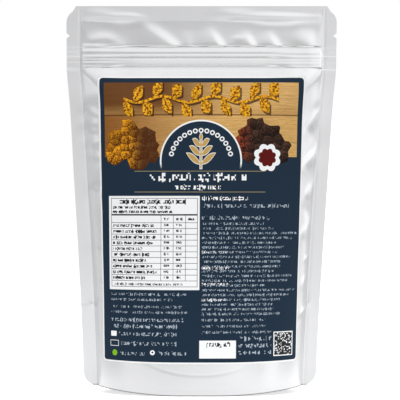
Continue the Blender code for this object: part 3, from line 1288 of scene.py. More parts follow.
@dataclass
class PrintKit:
    """The node groups that the label's print is made of."""

    box: bpy.types.NodeTree = field(init=False)
    disc: bpy.types.NodeTree = field(init=False)
    words: bpy.types.NodeTree = field(init=False)
    rules: bpy.types.NodeTree = field(init=False)
    cells: bpy.types.NodeTree = field(init=False)
    beads: bpy.types.NodeTree = field(init=False)
    planks: bpy.types.NodeTree = field(init=False)
    garland: bpy.types.NodeTree = field(init=False)
    pebbles: bpy.types.NodeTree = field(init=False)
    twig: bpy.types.NodeTree = field(init=False)
    rosette: bpy.types.NodeTree = field(init=False)

    def __post_init__(self) -> None:
        """Make the groups."""
        self.box = self._box_group()
        self.disc = self._disc_group()
        self.words = self._words_group()
        self.rules = self._rules_group()
        self.cells = self._cells_group()
        self.beads = self._beads_group()
        self.planks = self._planks_group()
        self.garland = self._garland_group()
        self.pebbles = self._pebbles_group()
        self.twig = self._twig_group()
        self.rosette = self._rosette_group()

    def _box_group(self) -> bpy.types.NodeTree:
        """Mask of an upright box with round corners.

        Returns:
            The group.
        """
        spec = GroupSpec(
            "Box Mask",
            {
                "X": 0.0, "Y": 0.0, "Left": 0.0, "Right": 1.0,
                "Bottom": 0.0, "Top": 1.0, "Corner": 0.1, "Softness": 0.08,
            },
            {"Mask": FLOAT_SOCKET},
        )
        tree, graph, given, leave = spec.open()
        parts = []
        for value, low, high in (("X", "Left", "Right"), ("Y", "Bottom", "Top")):
            middle = graph.times(graph.plus(given[low], given[high]), 0.5)
            half = graph.times(graph.minus(given[high], given[low]), 0.5)
            reach = graph.size(graph.minus(given[value], middle))
            parts.append(graph.minus(reach, graph.minus(half, given["Corner"])))
        outside = [graph.larger(part, 0.0) for part in parts]
        squared = [graph.times(part, part) for part in outside]
        length = graph.math("SQRT", graph.plus(squared[0], squared[1]))
        within = graph.smaller(graph.larger(parts[0], parts[1]), 0.0)
        distance = graph.minus(graph.plus(length, within), given["Corner"])
        edge = graph.over(distance, given["Softness"])
        graph.feed(leave.inputs["Mask"], graph.minus(0.5, edge, clamp=True))
        return tree

    def _disc_group(self) -> bpy.types.NodeTree:
        """Mask of a disc.

        Returns:
            The group.
        """
        spec = GroupSpec(
            "Disc Mask",
            {"X": 0.0, "Y": 0.0, "Centre X": 0.0, "Centre Y": 0.0, "Radius": 1.0, "Softness": 0.08},
            {"Mask": FLOAT_SOCKET},
        )
        tree, graph, given, leave = spec.open()
        distance = graph.length(
            graph.minus(given["X"], given["Centre X"]),
            graph.minus(given["Y"], given["Centre Y"]),
        )
        edge = graph.over(graph.minus(distance, given["Radius"]), given["Softness"])
        graph.feed(leave.inputs["Mask"], graph.minus(0.5, edge, clamp=True))
        return tree

    def _words_group(self) -> bpy.types.NodeTree:
        """Mask of placeholder writing: rows of short strokes with gaps as between words.

        Returns:
            The group.
        """
        names = ("X", "Y", "Left", "Right", "Ragged", "First", "Pitch", "Count", "Height", "Weight", "Seed")
        spec = GroupSpec("Placeholder Words", dict.fromkeys(names, 1.0), {"Mask": FLOAT_SOCKET})
        tree, graph, given, leave = spec.open()
        x, y = given["X"], given["Y"]
        lines = graph.over(graph.minus(given["First"], y), given["Pitch"])
        row = graph.math("ROUND", lines)
        off = graph.times(graph.minus(lines, row), given["Pitch"])
        last = graph.minus(given["Count"], 0.5)
        in_rows = graph.between(row, -0.5, last)
        line_random = graph.random(row, 3.0, given["Seed"])
        right = graph.minus(given["Right"], graph.times(given["Ragged"], line_random))
        mask = graph.times(in_rows, graph.between(x, given["Left"], right))
        letter = graph.over(graph.minus(x, given["Left"]), given["Height"])
        shift = graph.scale_add(line_random, 57.0, given["Seed"])
        place = graph.scale_add(letter, 0.22, shift)
        gap = graph.add("ShaderNodeTexVoronoi", voronoi_dimensions="1D", feature="DISTANCE_TO_EDGE")
        graph.feed(gap.inputs["W"], place)
        gap.inputs["Scale"].default_value = 1.0
        mask = graph.times(mask, graph.above(gap.outputs["Distance"], 0.065))
        column = graph.math("FLOOR", graph.times(letter, 3.4))
        third = graph.math("ROUND", graph.times(graph.over(off, given["Height"]), 2.4))
        upright = graph.random(column, row, given["Seed"])
        rise = graph.math("FRACT", graph.times(upright, 37.0))
        bars = graph.below(upright, graph.times(given["Weight"], 0.6))
        level = graph.random(column, graph.scale_add(row, 7.0, third), given["Seed"])
        stroke = graph.larger(bars, graph.below(level, given["Weight"]))
        mask = graph.times(mask, stroke)
        is_tall = graph.below(rise, 0.14)
        tall = graph.times(given["Height"], graph.scale_add(is_tall, 0.28, 0.5))
        in_height = graph.below(graph.size(off), tall)
        graph.feed(leave.inputs["Mask"], graph.times(mask, in_height))
        return tree

    def _rules_group(self) -> bpy.types.NodeTree:
        """Mask of evenly spaced lines across a strip.

        Returns:
            The group.
        """
        names = ("Position", "Along", "Start", "End", "First", "Pitch", "Count", "Thickness")
        spec = GroupSpec("Ruled Lines", dict.fromkeys(names, 1.0), {"Mask": FLOAT_SOCKET})
        tree, graph, given, leave = spec.open()
        lines = graph.over(graph.minus(given["First"], given["Position"]), given["Pitch"])
        row = graph.math("ROUND", lines)
        off = graph.size(graph.times(graph.minus(lines, row), given["Pitch"]))
        thin = graph.below(off, graph.times(given["Thickness"], 0.5))
        in_rows = graph.between(row, -0.5, graph.minus(given["Count"], 0.5))
        in_line = graph.between(given["Along"], given["Start"], given["End"])
        graph.feed(leave.inputs["Mask"], graph.times(graph.times(thin, in_rows), in_line))
        return tree

    def _cells_group(self) -> bpy.types.NodeTree:
        """Mask of random square cells.

        Returns:
            The group.
        """
        given = {"X": 0.0, "Y": 0.0, "Cell": 0.5, "Share": 0.5}
        spec = GroupSpec("Random Cells", given, {"Mask": FLOAT_SOCKET})
        tree, graph, given, leave = spec.open()
        column = graph.math("FLOOR", graph.over(given["X"], given["Cell"]))
        row = graph.math("FLOOR", graph.over(given["Y"], given["Cell"]))
        value = graph.random(column, row, 0.5)
        graph.feed(leave.inputs["Mask"], graph.below(value, given["Share"]))
        return tree

    def _beads_group(self) -> bpy.types.NodeTree:
        """Mask of open beads along the upper half of a ring.

        Returns:
            The group.
        """
        given = {"X": 0.0, "Y": 0.0, "Radius": 17.0, "Bead": 0.5}
        spec = GroupSpec("Bead Arc", given, {"Mask": FLOAT_SOCKET})
        tree, graph, given, leave = spec.open()
        angle = graph.times(graph.math("ARCTAN2", given["X"], given["Y"]), 5.2)
        turn = graph.times(graph.minus(angle, graph.math("ROUND", angle)), 2.96)
        radial = graph.minus(graph.length(given["X"], given["Y"]), given["Radius"])
        off = graph.size(graph.minus(graph.length(radial, turn), given["Bead"]))
        mask = graph.times(graph.ramp(off, 0.24, 0.40, 1.0, 0.0), graph.above(given["Y"], 1.9))
        graph.feed(leave.inputs["Mask"], mask)
        return tree

    def _planks_group(self) -> bpy.types.NodeTree:
        """Colour of wooden boards that run across, dark at the left and tan at the right.

        Returns:
            The group.
        """
        spec = GroupSpec("Wooden Boards", {"X": 0.0, "Y": 0.0}, {"Colour": COLOUR_SOCKET})
        tree, graph, given, leave = spec.open()
        x, y = given["X"], given["Y"]
        grain = graph.noise(graph.join(graph.times(x, 0.05), graph.times(y, 0.9)), 1.6, 6.0, 0.62)
        fine = graph.noise(graph.join(graph.times(x, 0.25), graph.times(y, 3.2)), 1.5, 3.0, 0.6)
        side = graph.scale_add(grain, 14.0, x)
        upper = graph.mix(graph.ramp(side, -16.0, 27.0), srgb(110, 70, 36), srgb(222, 178, 112))
        upper = graph.mix(graph.ramp(y, 143.0, 149.0, 0.5, 0.0), upper, srgb(204, 156, 90))
        lower = graph.mix(graph.ramp(side, -52.0, 22.0), srgb(148, 92, 38), srgb(226, 180, 110))
        warm = graph.mix(graph.ramp(y, 141.9, 142.9, 1.0, 0.0), upper, lower)
        shade = graph.scale_add(graph.scale_add(fine, 0.6, grain), 3.0, -1.95, clamp=True)
        colour = graph.mix(graph.times(shade, 0.42), warm, srgb(92, 54, 24))
        joint = graph.size(graph.minus(y, 142.4))
        colour = graph.mix(graph.ramp(joint, 0.12, 0.5, 0.8, 0.0), colour, srgb(66, 36, 16))
        second = graph.size(graph.minus(y, 128.4))
        colour = graph.mix(graph.ramp(second, 0.1, 0.6, 0.3, 0.0), colour, srgb(84, 48, 20))
        graph.feed(leave.inputs["Colour"], colour)
        return tree

    def _garland_group(self) -> bpy.types.NodeTree:
        """Mask of a waving row of leaves, set in turn above and below a stem.

        Returns:
            The group.
        """
        spec = GroupSpec(
            "Leaf Garland",
            {"X": 0.0, "Y": 0.0, "Centre Y": 0.0, "Pitch": 5.0, "Leaf": 4.0},
            {"Mask": FLOAT_SOCKET, "Shade": FLOAT_SOCKET},
        )
        tree, graph, given, leave = spec.open()
        x, leaf = given["X"], given["Leaf"]
        wave = graph.times(graph.math("SINE", graph.times(x, 0.24)), 1.6)
        north = graph.minus(graph.minus(given["Y"], given["Centre Y"]), wave)
        cell = graph.over(x, given["Pitch"])
        index = graph.math("FLOOR", cell)
        east = graph.times(graph.minus(graph.minus(cell, index), 0.5), given["Pitch"])
        parity = graph.scale_add(graph.math("PINGPONG", index, 1.0), 2.0, -1.0)
        up = graph.minus(graph.times(north, parity), leaf)
        lean_x = graph.minus(graph.times(east, 0.88), graph.times(up, 0.47))
        lean_y = graph.plus(graph.times(up, 0.88), graph.times(east, 0.47))
        long = graph.over(lean_y, graph.times(leaf, 1.05))
        wide = graph.size(graph.over(lean_x, graph.times(leaf, 0.66)))
        inside = graph.minus(graph.minus(1.0, graph.times(long, long)), wide)
        rough = graph.noise(graph.join(x, given["Y"]), 0.9, 3.0, 0.6)
        ragged = graph.plus(inside, graph.scale_add(rough, 0.9, -0.45))
        stem = graph.ramp(graph.size(north), 0.6, 0.8, 1.0, 0.0)
        graph.feed(leave.inputs["Mask"], graph.larger(graph.ramp(ragged, 0.0, 0.12), stem))
        rib, mottle = graph.ramp(wide, 0.05, 0.2, 0.4, 0.0), graph.ramp(rough, 0.42, 0.62)
        graph.feed(leave.inputs["Shade"], graph.plus(rib, mottle, clamp=True))
        return tree

    def _pebbles_group(self) -> bpy.types.NodeTree:
        """Mask, tone and light of a heap of round pieces.

        Returns:
            The group.
        """
        spec = GroupSpec(
            "Pebble Heap",
            {"X": 0.0, "Y": 0.0, "Centre X": 0.0, "Base": 0.0, "Width": 10.0, "Rise": 10.0},
            {"Mask": FLOAT_SOCKET, "Tone": FLOAT_SOCKET, "Light": FLOAT_SOCKET},
        )
        tree, graph, given, leave = spec.open()
        place = graph.join(given["X"], given["Y"])
        readings = {}
        for feature in ("F1", "DISTANCE_TO_EDGE"):
            readings[feature] = graph.add("ShaderNodeTexVoronoi", voronoi_dimensions="2D", feature=feature)
            graph.feed(readings[feature].inputs["Vector"], place)
            readings[feature].inputs["Scale"].default_value = 0.22
        centre_x, centre_y, _ = graph.split(readings["F1"].outputs["Position"])
        share = graph.over(graph.minus(centre_x, given["Centre X"]), given["Width"])
        bend = graph.math("POWER", graph.size(share), 3.0)
        top = graph.times(graph.minus(1.0, bend), given["Rise"])
        high = graph.minus(graph.plus(given["Base"], top), centre_y)
        graph.feed(leave.inputs["Mask"], graph.between(high, 0.0, top))
        graph.feed(leave.inputs["Tone"], graph.random(centre_x, centre_y, 0.0))
        lit = graph.minus(given["Y"], centre_y)
        lit = graph.scale_add(graph.minus(given["X"], centre_x), -0.5, lit)
        rough = graph.noise(place, 1.0, 5.0, 0.8)
        light = graph.scale_add(lit, 0.13, graph.scale_add(rough, 4.6, -1.9))
        solid = graph.ramp(readings["DISTANCE_TO_EDGE"].outputs["Distance"], 0.01, 0.05)
        graph.feed(leave.inputs["Light"], graph.times(graph.larger(light, 0.0), solid))
        return tree

    def _rosette_group(self) -> bpy.types.NodeTree:
        """Mask of a flower with round petals.

        Returns:
            The group.
        """
        spec = GroupSpec(
            "Rosette",
            {"X": 0.0, "Y": 0.0, "Centre X": 0.0, "Centre Y": 0.0, "Radius": 6.0, "Petal": 1.2},
            {"Mask": FLOAT_SOCKET},
        )
        tree, graph, given, leave = spec.open()
        east = graph.minus(given["X"], given["Centre X"])
        north = graph.minus(given["Y"], given["Centre Y"])
        wave = graph.math("SINE", graph.times(graph.math("ARCTAN2", north, east), 4.0))
        edge = graph.scale_add(graph.size(wave), given["Petal"], given["Radius"])
        off = graph.minus(graph.length(east, north), edge)
        graph.feed(leave.inputs["Mask"], graph.ramp(off, -0.1, 0.1, 1.0, 0.0))
        return tree

    def _twig_group(self) -> bpy.types.NodeTree:
        """Mask of an upright twig with paired leaves, grown by a margin for its outline.

        Returns:
            The group.
        """
        given = {"X": 0.0, "Y": 0.0, "Rise": 16.0, "Margin": 0.0}
        spec = GroupSpec("Twig", given, {"Mask": FLOAT_SOCKET})
        tree, graph, given, leave = spec.open()
        east, north, rise = graph.size(given["X"]), given["Y"], given["Rise"]
        stem = graph.smaller(north, graph.minus(rise, north))
        stem = graph.smaller(graph.minus(0.42, east), stem)
        pitch = graph.times(rise, 0.27)
        share = graph.over(graph.scale_add(east, -0.75, north), pitch)
        index = graph.smaller(graph.larger(graph.math("FLOOR", share), 0.0), 2.0)
        off = graph.times(graph.minus(graph.minus(share, index), 0.5), pitch)
        along = graph.minus(graph.over(east, graph.scale_add(index, -1.5, 7.2)), 0.52)
        bulge = graph.minus(0.25, graph.times(along, along))
        leaf = graph.minus(graph.times(bulge, 6.8), graph.size(off))
        above = graph.size(graph.minus(north, graph.times(rise, 0.93)))
        tip = graph.minus(1.5, graph.scale_add(east, 1.7, graph.times(above, 0.6)))
        shape = graph.larger(graph.larger(stem, leaf), tip)
        graph.feed(leave.inputs["Mask"], graph.ramp(graph.plus(shape, given["Margin"]), 0.0, 0.12))
        return tree


# Finishes


def new_material(name: str) -> tuple[bpy.types.Material, Graph, bpy.types.Node]:
    """Start a material.

    Args:
        name: Name of the material.

    Returns:
        The material, its graph and its shader.
    """
    material = bpy.data.materials.new(name)
    material.use_nodes = True
    return material, Graph(material.node_tree), material.node_tree.nodes["Principled BSDF"]


@dataclass(frozen=True)
class FilmFinish:
    """Satin silver-white laminate film, with a painted contact shadow along its lower edge."""

    name: str
    colour: Colour
    roughness: float = 0.25
    metallic: float = 0.85
    grain: float = 0.05
    grain_scale: float = 1400.0
    patch_scale: float = 45.0
    patch_contrast: float = 0.05
    seal_roughness: float = 0.08
    seal_grain: float = 0.25

    def build(self) -> bpy.types.Material:
        """Make the material.

        Returns:
            The material.
        """
        material, graph, shader = new_material(self.name)
        place = graph.add("ShaderNodeTexCoord").outputs["Object"]
        sheet = graph.add("ShaderNodeAttribute", attribute_name=SHEET_ATTRIBUTE).outputs["Vector"]
        across, up, _ = graph.split(sheet)
        in_seal = graph.ramp(graph.size(across), 62.6, 63.4)
        in_seal = graph.larger(in_seal, graph.ramp(up, 191.4, 192.0))
        fine = graph.noise(place, self.grain_scale, 2.0, 0.6)
        broad = graph.noise(place, self.patch_scale, 3.0, 0.5)
        bright = graph.add("ShaderNodeHueSaturation")
        graph.feed(bright.inputs["Color"], self.colour)
        # Painted shadow: the lowest 0.6 mm of each film is darkened, down to a quarter at the very bottom,
        # standing in for the thin dark contact line where the pouch meets the floor.
        painted_contact_shadow = graph.ramp(up, 0.25, 0.6, 0.25, 1.0)
        dimmest = 1.0 - self.patch_contrast / 2.0
        patches = graph.scale_add(broad, self.patch_contrast, dimmest)
        graph.feed(bright.inputs["Value"], graph.times(painted_contact_shadow, patches))
        graph.feed(shader.inputs["Base Color"], bright.outputs["Color"])
        shader.inputs["Metallic"].default_value = self.metallic
        rough = graph.scale_add(in_seal, self.seal_roughness, self.roughness)
        graph.feed(shader.inputs["Roughness"], rough)
        bump = graph.add("ShaderNodeBump")
        graph.feed(bump.inputs["Height"], fine)
        bump.inputs["Distance"].default_value = 0.0001
        graph.feed(bump.inputs["Strength"], graph.scale_add(in_seal, self.seal_grain, self.grain))
        graph.feed(shader.inputs["Normal"], bump.outputs["Normal"])
        return material


@dataclass(frozen=True)
class PlainFinish:
    """A finish with one colour broken up by noise."""

    name: str
    colour: Colour
    second: Colour
    scale: float
    roughness: float
    transmission: float = 0.0

    def build(self) -> bpy.types.Material:
        """Make the material.

        Returns:
            The material.
        """
        material, graph, shader = new_material(self.name)
        place = graph.add("ShaderNodeTexCoord").outputs["Object"]
        share = graph.ramp(graph.noise(place, self.scale, 4.0, 0.6), 0.35, 0.65)
        graph.feed(shader.inputs["Base Color"], graph.mix(share, self.colour, self.second))
        shader.inputs["Roughness"].default_value = self.roughness
        shader.inputs["Transmission Weight"].default_value = self.transmission
        return material


@dataclass(frozen=True)
class FloorFinish:
    """Matt white studio floor, lit through from below where the camera sees it."""

    shade: float
    glow: float
    reflected: float

    def build(self) -> bpy.types.Material:
        """Make the material.

        Returns:
            The material.
        """
        material, graph, shader = new_material("Studio floor")
        shader.inputs["Base Color"].default_value = (self.shade, self.shade, self.shade, 1.0)
        shader.inputs["Roughness"].default_value = 0.8
        shader.inputs["Emission Color"].default_value = (1.0, 1.0, 1.0, 1.0)
        seen = graph.add("ShaderNodeLightPath").outputs["Is Camera Ray"]
        graph.feed(shader.inputs["Emission Strength"], graph.scale_add(seen, self.glow, self.reflected))
        return material


NAVY = srgb(29, 46, 63)
WHITE = srgb(245, 246, 247)
PALE = srgb(172, 184, 195)
INK = srgb(40, 42, 46)
GOLD = srgb(196, 160, 92)
KHAKI = srgb(148, 136, 104)
GREEN = srgb(128, 184, 34)


@dataclass
class Printer:
    """Collects the marks of one ink and lays them over the colour so far."""

    graph: Graph
    kit: PrintKit
    x: Socket
    y: Socket
    mask: Socket | None = None

    def add(self, mask: Socket) -> None:
        """Add a mark by its mask."""
        self.mask = mask if self.mask is None else self.graph.larger(self.mask, mask)

    def box(self, left: float, right: float, bottom: float, top: float, corner: float = 0.05) -> Socket:
        """Mask of a box.

        Args:
            left: Left edge, mm.
            right: Right edge.
            bottom: Lower edge.
            top: Upper edge.
            corner: Corner radius.

        Returns:
            The mask.
        """
        node = self.graph.group(
            self.kit.box, X=self.x, Y=self.y, Left=left, Right=right, Bottom=bottom, Top=top, Corner=corner
        )
        return node.outputs["Mask"]

    def frame(self, left: float, right: float, bottom: float, top: float, line: float) -> Socket:
        """Mask of a box's outline.

        Args:
            left: Left edge, mm.
            right: Right edge.
            bottom: Lower edge.
            top: Upper edge.
            line: Thickness of the line.

        Returns:
            The mask.
        """
        inner = self.box(left + line, right - line, bottom + line, top - line)
        return self.graph.minus(self.box(left, right, bottom, top), inner, clamp=True)

    def disc(self, across: float, up: float, radius: float) -> Socket:
        """Mask of a disc.

        Args:
            across: Centre across the label, mm.
            up: Centre height.
            radius: Radius.

        Returns:
            The mask.
        """
        node = self.graph.group(
            self.kit.disc, X=self.x, Y=self.y, Centre_X=across, Centre_Y=up, Radius=radius
        )
        return node.outputs["Mask"]

    def words(self, rows: Sequence[tuple[float, ...]]) -> None:
        """Add blocks of placeholder writing.

        Args:
            rows: For each block left, right, ragged, first, pitch, count, height, weight, seed.
        """
        names = ("Left", "Right", "Ragged", "First", "Pitch", "Count", "Height", "Weight", "Seed")
        for row in rows:
            node = self.graph.group(self.kit.words, X=self.x, Y=self.y, **dict(zip(names, row)))
            self.add(node.outputs["Mask"])

    def rules(self, rows: Sequence[tuple[float, ...]], upright: bool = False) -> None:
        """Add evenly spaced lines.

        Args:
            rows: For each set start, end, first, pitch, count, thickness.
            upright: Lines run up instead of across.
        """
        names = ("Start", "End", "First", "Pitch", "Count", "Thickness")
        position, along = (self.x, self.y) if upright else (self.y, self.x)
        for row in rows:
            node = self.graph.group(self.kit.rules, Position=position, Along=along, **dict(zip(names, row)))
            self.add(node.outputs["Mask"])

    def lay(self, under: object, ink: Colour) -> Socket:
        """Print the collected marks.

        Args:
            under: Colour so far.
            ink: Colour of the marks.

        Returns:
            The new colour.
        """
        colour = self.graph.mix(self.mask, under, ink)
        self.mask = None
        return colour


@dataclass
class LabelFinish:
    """The label's print, laid ink by ink from the ground up."""

    kit: PrintKit
    roughness: float = 0.46
    badge_up: float = 119.0
    badge_rim: float = 20.9
    badge_radius: float = 20.1
    twig_foot: float = 114.9
    twig_rise: float = 17.4
    twig_outline: float = 0.34

    def build(self) -> bpy.types.Material:
        """Make the material.

        Returns:
            The material.
        """
        material, graph, shader = new_material("Label print")
        sheet = graph.add("ShaderNodeAttribute", attribute_name=SHEET_ATTRIBUTE).outputs["Vector"]
        x, y, _ = graph.split(sheet)
        printer = Printer(graph, self.kit, x, y)
        printer.add(printer.box(-52.6, 52.9, 16.95, 161.8, 1.7))
        colour = printer.lay(WHITE, NAVY)
        colour = self._picture(printer, colour)
        colour = self._badge(printer, colour)
        colour = self._inks(printer, colour)
        graph.feed(shader.inputs["Base Color"], colour)
        shader.inputs["Roughness"].default_value = self.roughness
        shader.inputs["Specular IOR Level"].default_value = 0.08
        return material

    def _picture(self, printer: Printer, under: Socket) -> Socket:
        """The picture panel: boards, a leaf garland and two heaps.

        Args:
            printer: The printer.
            under: Colour so far.

        Returns:
            The new colour.
        """
        graph, place = printer.graph, {"X": printer.x, "Y": printer.y}
        picture = graph.group(self.kit.planks, **place).outputs["Colour"]
        garland = graph.group(self.kit.garland, Centre_Y=150.6, Pitch=5.0, Leaf=4.6, **place)
        leaf = graph.mix(garland.outputs["Shade"], srgb(246, 178, 34), srgb(108, 54, 4))
        limits = printer.box(-40.0, 40.0, 141.6, 159.2, 0.1)
        west, north = graph.minus(printer.x, 0.9), graph.plus(printer.y, 1.1)
        shade = graph.group(self.kit.garland, X=west, Y=north, Centre_Y=150.6, Pitch=5.0, Leaf=4.6)
        shade = graph.times(graph.times(shade.outputs["Mask"], 0.85), limits)
        shade = graph.times(shade, graph.ramp(printer.x, -39.2, -39.0))
        picture = graph.mix(shade, picture, srgb(58, 30, 8))
        picture = graph.mix(graph.times(garland.outputs["Mask"], limits), picture, leaf)
        picture = graph.mix(printer.box(-50.3, 50.2, 121.0, 159.4, 0.1), under, picture)
        heaps = (
            (-36.6, 116.6, 15.6, 22.4, -35.0, srgb(78, 36, 6), srgb(255, 172, 32), srgb(92, 60, 34)),
            (31.0, 118.0, 16.6, 20.6, 22.0, srgb(22, 12, 10), srgb(170, 70, 36), srgb(82, 56, 42)),
        )
        for centre, base, width, rise, middle, dark, west, east in heaps:
            heap = graph.group(
                self.kit.pebbles, Centre_X=centre, Base=base, Width=width, Rise=rise, **place
            )
            lit = graph.mix(graph.ramp(printer.x, middle - 6.0, middle + 6.0), west, east)
            tone = graph.times(heap.outputs["Light"], graph.plus(heap.outputs["Tone"], 0.62), clamp=True)
            picture = graph.mix(heap.outputs["Mask"], picture, graph.mix(tone, dark, lit))
        for radius, petal, ink in ((6.0, 1.3, WHITE), (3.9, 0.9, srgb(92, 18, 12))):
            flower = graph.group(
                self.kit.rosette, Centre_X=34.0, Centre_Y=120.6, Radius=radius, Petal=petal, **place
            )
            picture = graph.mix(flower.outputs["Mask"], picture, ink)
        return picture

    def _badge(self, printer: Printer, under: Socket) -> Socket:
        """The round badge that rises into the picture: rim, beads and a gold twig.

        Args:
            printer: The printer.
            under: Colour so far.

        Returns:
            The new colour.
        """
        graph = printer.graph
        fade = graph.ramp(printer.y, 114.5, 118.0)
        printer.add(graph.times(printer.disc(0.0, self.badge_up, self.badge_rim), fade))
        colour = printer.lay(under, WHITE)
        printer.add(printer.disc(0.0, self.badge_up, self.badge_radius))
        colour = printer.lay(colour, NAVY)
        lifted = graph.minus(printer.y, self.badge_up)
        beads = graph.group(self.kit.beads, X=printer.x, Y=lifted, Radius=15.4, Bead=0.95)
        printer.add(beads.outputs["Mask"])
        north = graph.minus(printer.y, self.twig_foot)
        for margin, ink in ((self.twig_outline, WHITE), (0.0, GOLD)):
            twig = graph.group(self.kit.twig, X=printer.x, Y=north, Rise=self.twig_rise, Margin=margin)
            printer.add(twig.outputs["Mask"])
            colour = printer.lay(colour, ink)
        return colour

    def _inks(self, printer: Printer, under: Socket) -> Socket:
        """The flat inks: khaki rules, white parts, pale writing, then dark marks on white.

        Args:
            printer: The printer.
            under: Colour so far.

        Returns:
            The new colour.
        """
        printer.rules(((-34.0, 33.0, 113.6, 10.6, 2.0, 0.34),))
        colour = printer.lay(under, KHAKI)
        for box in (
            (-48.2, -0.5, 53.4, 101.0, 0.2),
            (-0.4, 18.1, 19.0, 28.0),
            (37.9, 50.0, 19.6, 32.1, 0.2),
            (-47.5, -43.9, 29.7, 32.3, 0.4),
        ):
            printer.add(printer.box(*box))
        printer.add(printer.frame(-47.9, -42.6, 24.7, 27.7, 0.25))
        printer.add(printer.disc(-24.1, 21.8, 1.25))
        printer.words(
            (
                (-26.0, 23.2, 0.0, 110.4, 9.0, 1.0, 3.0, 0.40, 1.0),
                (-13.1, 10.1, 0.0, 105.3, 9.0, 1.0, 1.9, 0.52, 2.0),
                (0.7, 24.0, 0.0, 99.7, 9.0, 1.0, 1.6, 0.45, 3.0),
                (0.7, 16.0, 4.0, 72.5, 8.07, 4.0, 1.1, 0.25, 23.0),
            )
        )
        colour = printer.lay(colour, WHITE)
        printer.words(
            (
                (19.4, 36.6, 0.0, 28.8, 3.5, 3.0, 1.7, 0.26, 14.0),
                (0.7, 46.0, 0.0, 95.9, 9.0, 1.0, 1.5, 0.32, 4.0),
                (0.7, 36.0, 0.0, 89.8, 9.0, 1.0, 1.45, 0.32, 24.0),
                (0.7, 51.5, 20.0, 86.9, 2.4, 20.0, 1.0, 0.24, 5.0),
                (0.7, 37.0, 4.0, 38.3, 3.1, 3.0, 1.0, 0.24, 6.0),
                (-47.2, -6.0, 10.0, 51.1, 2.7, 2.0, 1.0, 0.24, 7.0),
                (-47.2, -4.0, 10.0, 44.8, 2.8, 2.0, 1.0, 0.24, 8.0),
                (-47.2, -8.0, 10.0, 38.1, 3.2, 2.0, 1.45, 0.28, 9.0),
                (-42.4, -12.0, 0.0, 31.0, 9.0, 1.0, 1.5, 0.30, 10.0),
                (-41.0, -12.0, 0.0, 26.2, 9.0, 1.0, 1.5, 0.30, 11.0),
                (-42.0, -28.0, 0.0, 21.0, 9.0, 1.0, 1.5, 0.30, 12.0),
                (-21.8, -7.0, 0.0, 21.3, 9.0, 1.0, 1.5, 0.30, 13.0),
            )
        )
        colour = printer.lay(colour, PALE)
        printer.add(printer.frame(-46.9, -1.5, 54.9, 99.9, 0.25))
        printer.rules(
            (
                (-46.9, -1.5, 91.4, 9.0, 1.0, 0.75),
                (-46.9, -1.5, 87.4, 2.94, 11.0, 0.24),
            )
        )
        printer.rules(((57.9, 91.2, -7.6, 6.25, 3.0, 0.22),), upright=True)
        printer.words(
            (
                (2.4, 15.2, 0.0, 25.9, 9.0, 1.0, 1.9, 0.5, 15.0),
                (-42.0, -7.5, 0.0, 98.0, 9.0, 1.0, 1.8, 0.70, 16.0),
                (-46.0, -11.0, 6.0, 95.2, 2.3, 2.0, 1.2, 0.60, 17.0),
                (-46.0, -22.0, 9.0, 85.9, 2.94, 10.0, 1.25, 0.58, 18.0),
                (-18.6, -15.4, 1.0, 89.2, 2.94, 11.0, 1.1, 0.6, 19.0),
                (-12.4, -9.2, 1.0, 89.2, 2.94, 11.0, 1.1, 0.6, 20.0),
                (-6.6, -2.4, 0.0, 89.2, 2.94, 1.0, 1.1, 0.6, 21.0),
                (-45.8, -9.0, 0.0, 56.2, 9.0, 1.0, 1.0, 0.55, 22.0),
            )
        )
        graph = printer.graph
        cells = graph.group(self.kit.cells, X=printer.x, Y=printer.y, Cell=0.52, Share=0.80)
        square = printer.box(38.4, 49.5, 20.1, 31.6, 0.0)
        printer.add(graph.times(cells.outputs["Mask"], square))
        colour = printer.lay(colour, INK)
        printer.add(printer.disc(-24.1, 21.9, 0.5))
        colour = printer.lay(colour, NAVY)
        printer.add(printer.disc(-45.1, 21.2, 1.6))
        return printer.lay(colour, GREEN)


# Studio


@dataclass(frozen=True)
class Skylight:
    """A wide, soft light from far away."""

    name: str
    towards: tuple[float, float, float]
    power: float
    spread: float = 40.0

    def hang(self) -> None:
        """Put the light into the scene."""
        data = bpy.data.lights.new(self.name, "SUN")
        data.energy = self.power
        data.angle = math.radians(self.spread)
        light = bpy.data.objects.new(self.name, data)
        light.rotation_euler = (-Vector(self.towards)).to_track_quat("-Z", "Y").to_euler()
        bpy.context.scene.collection.objects.link(light)


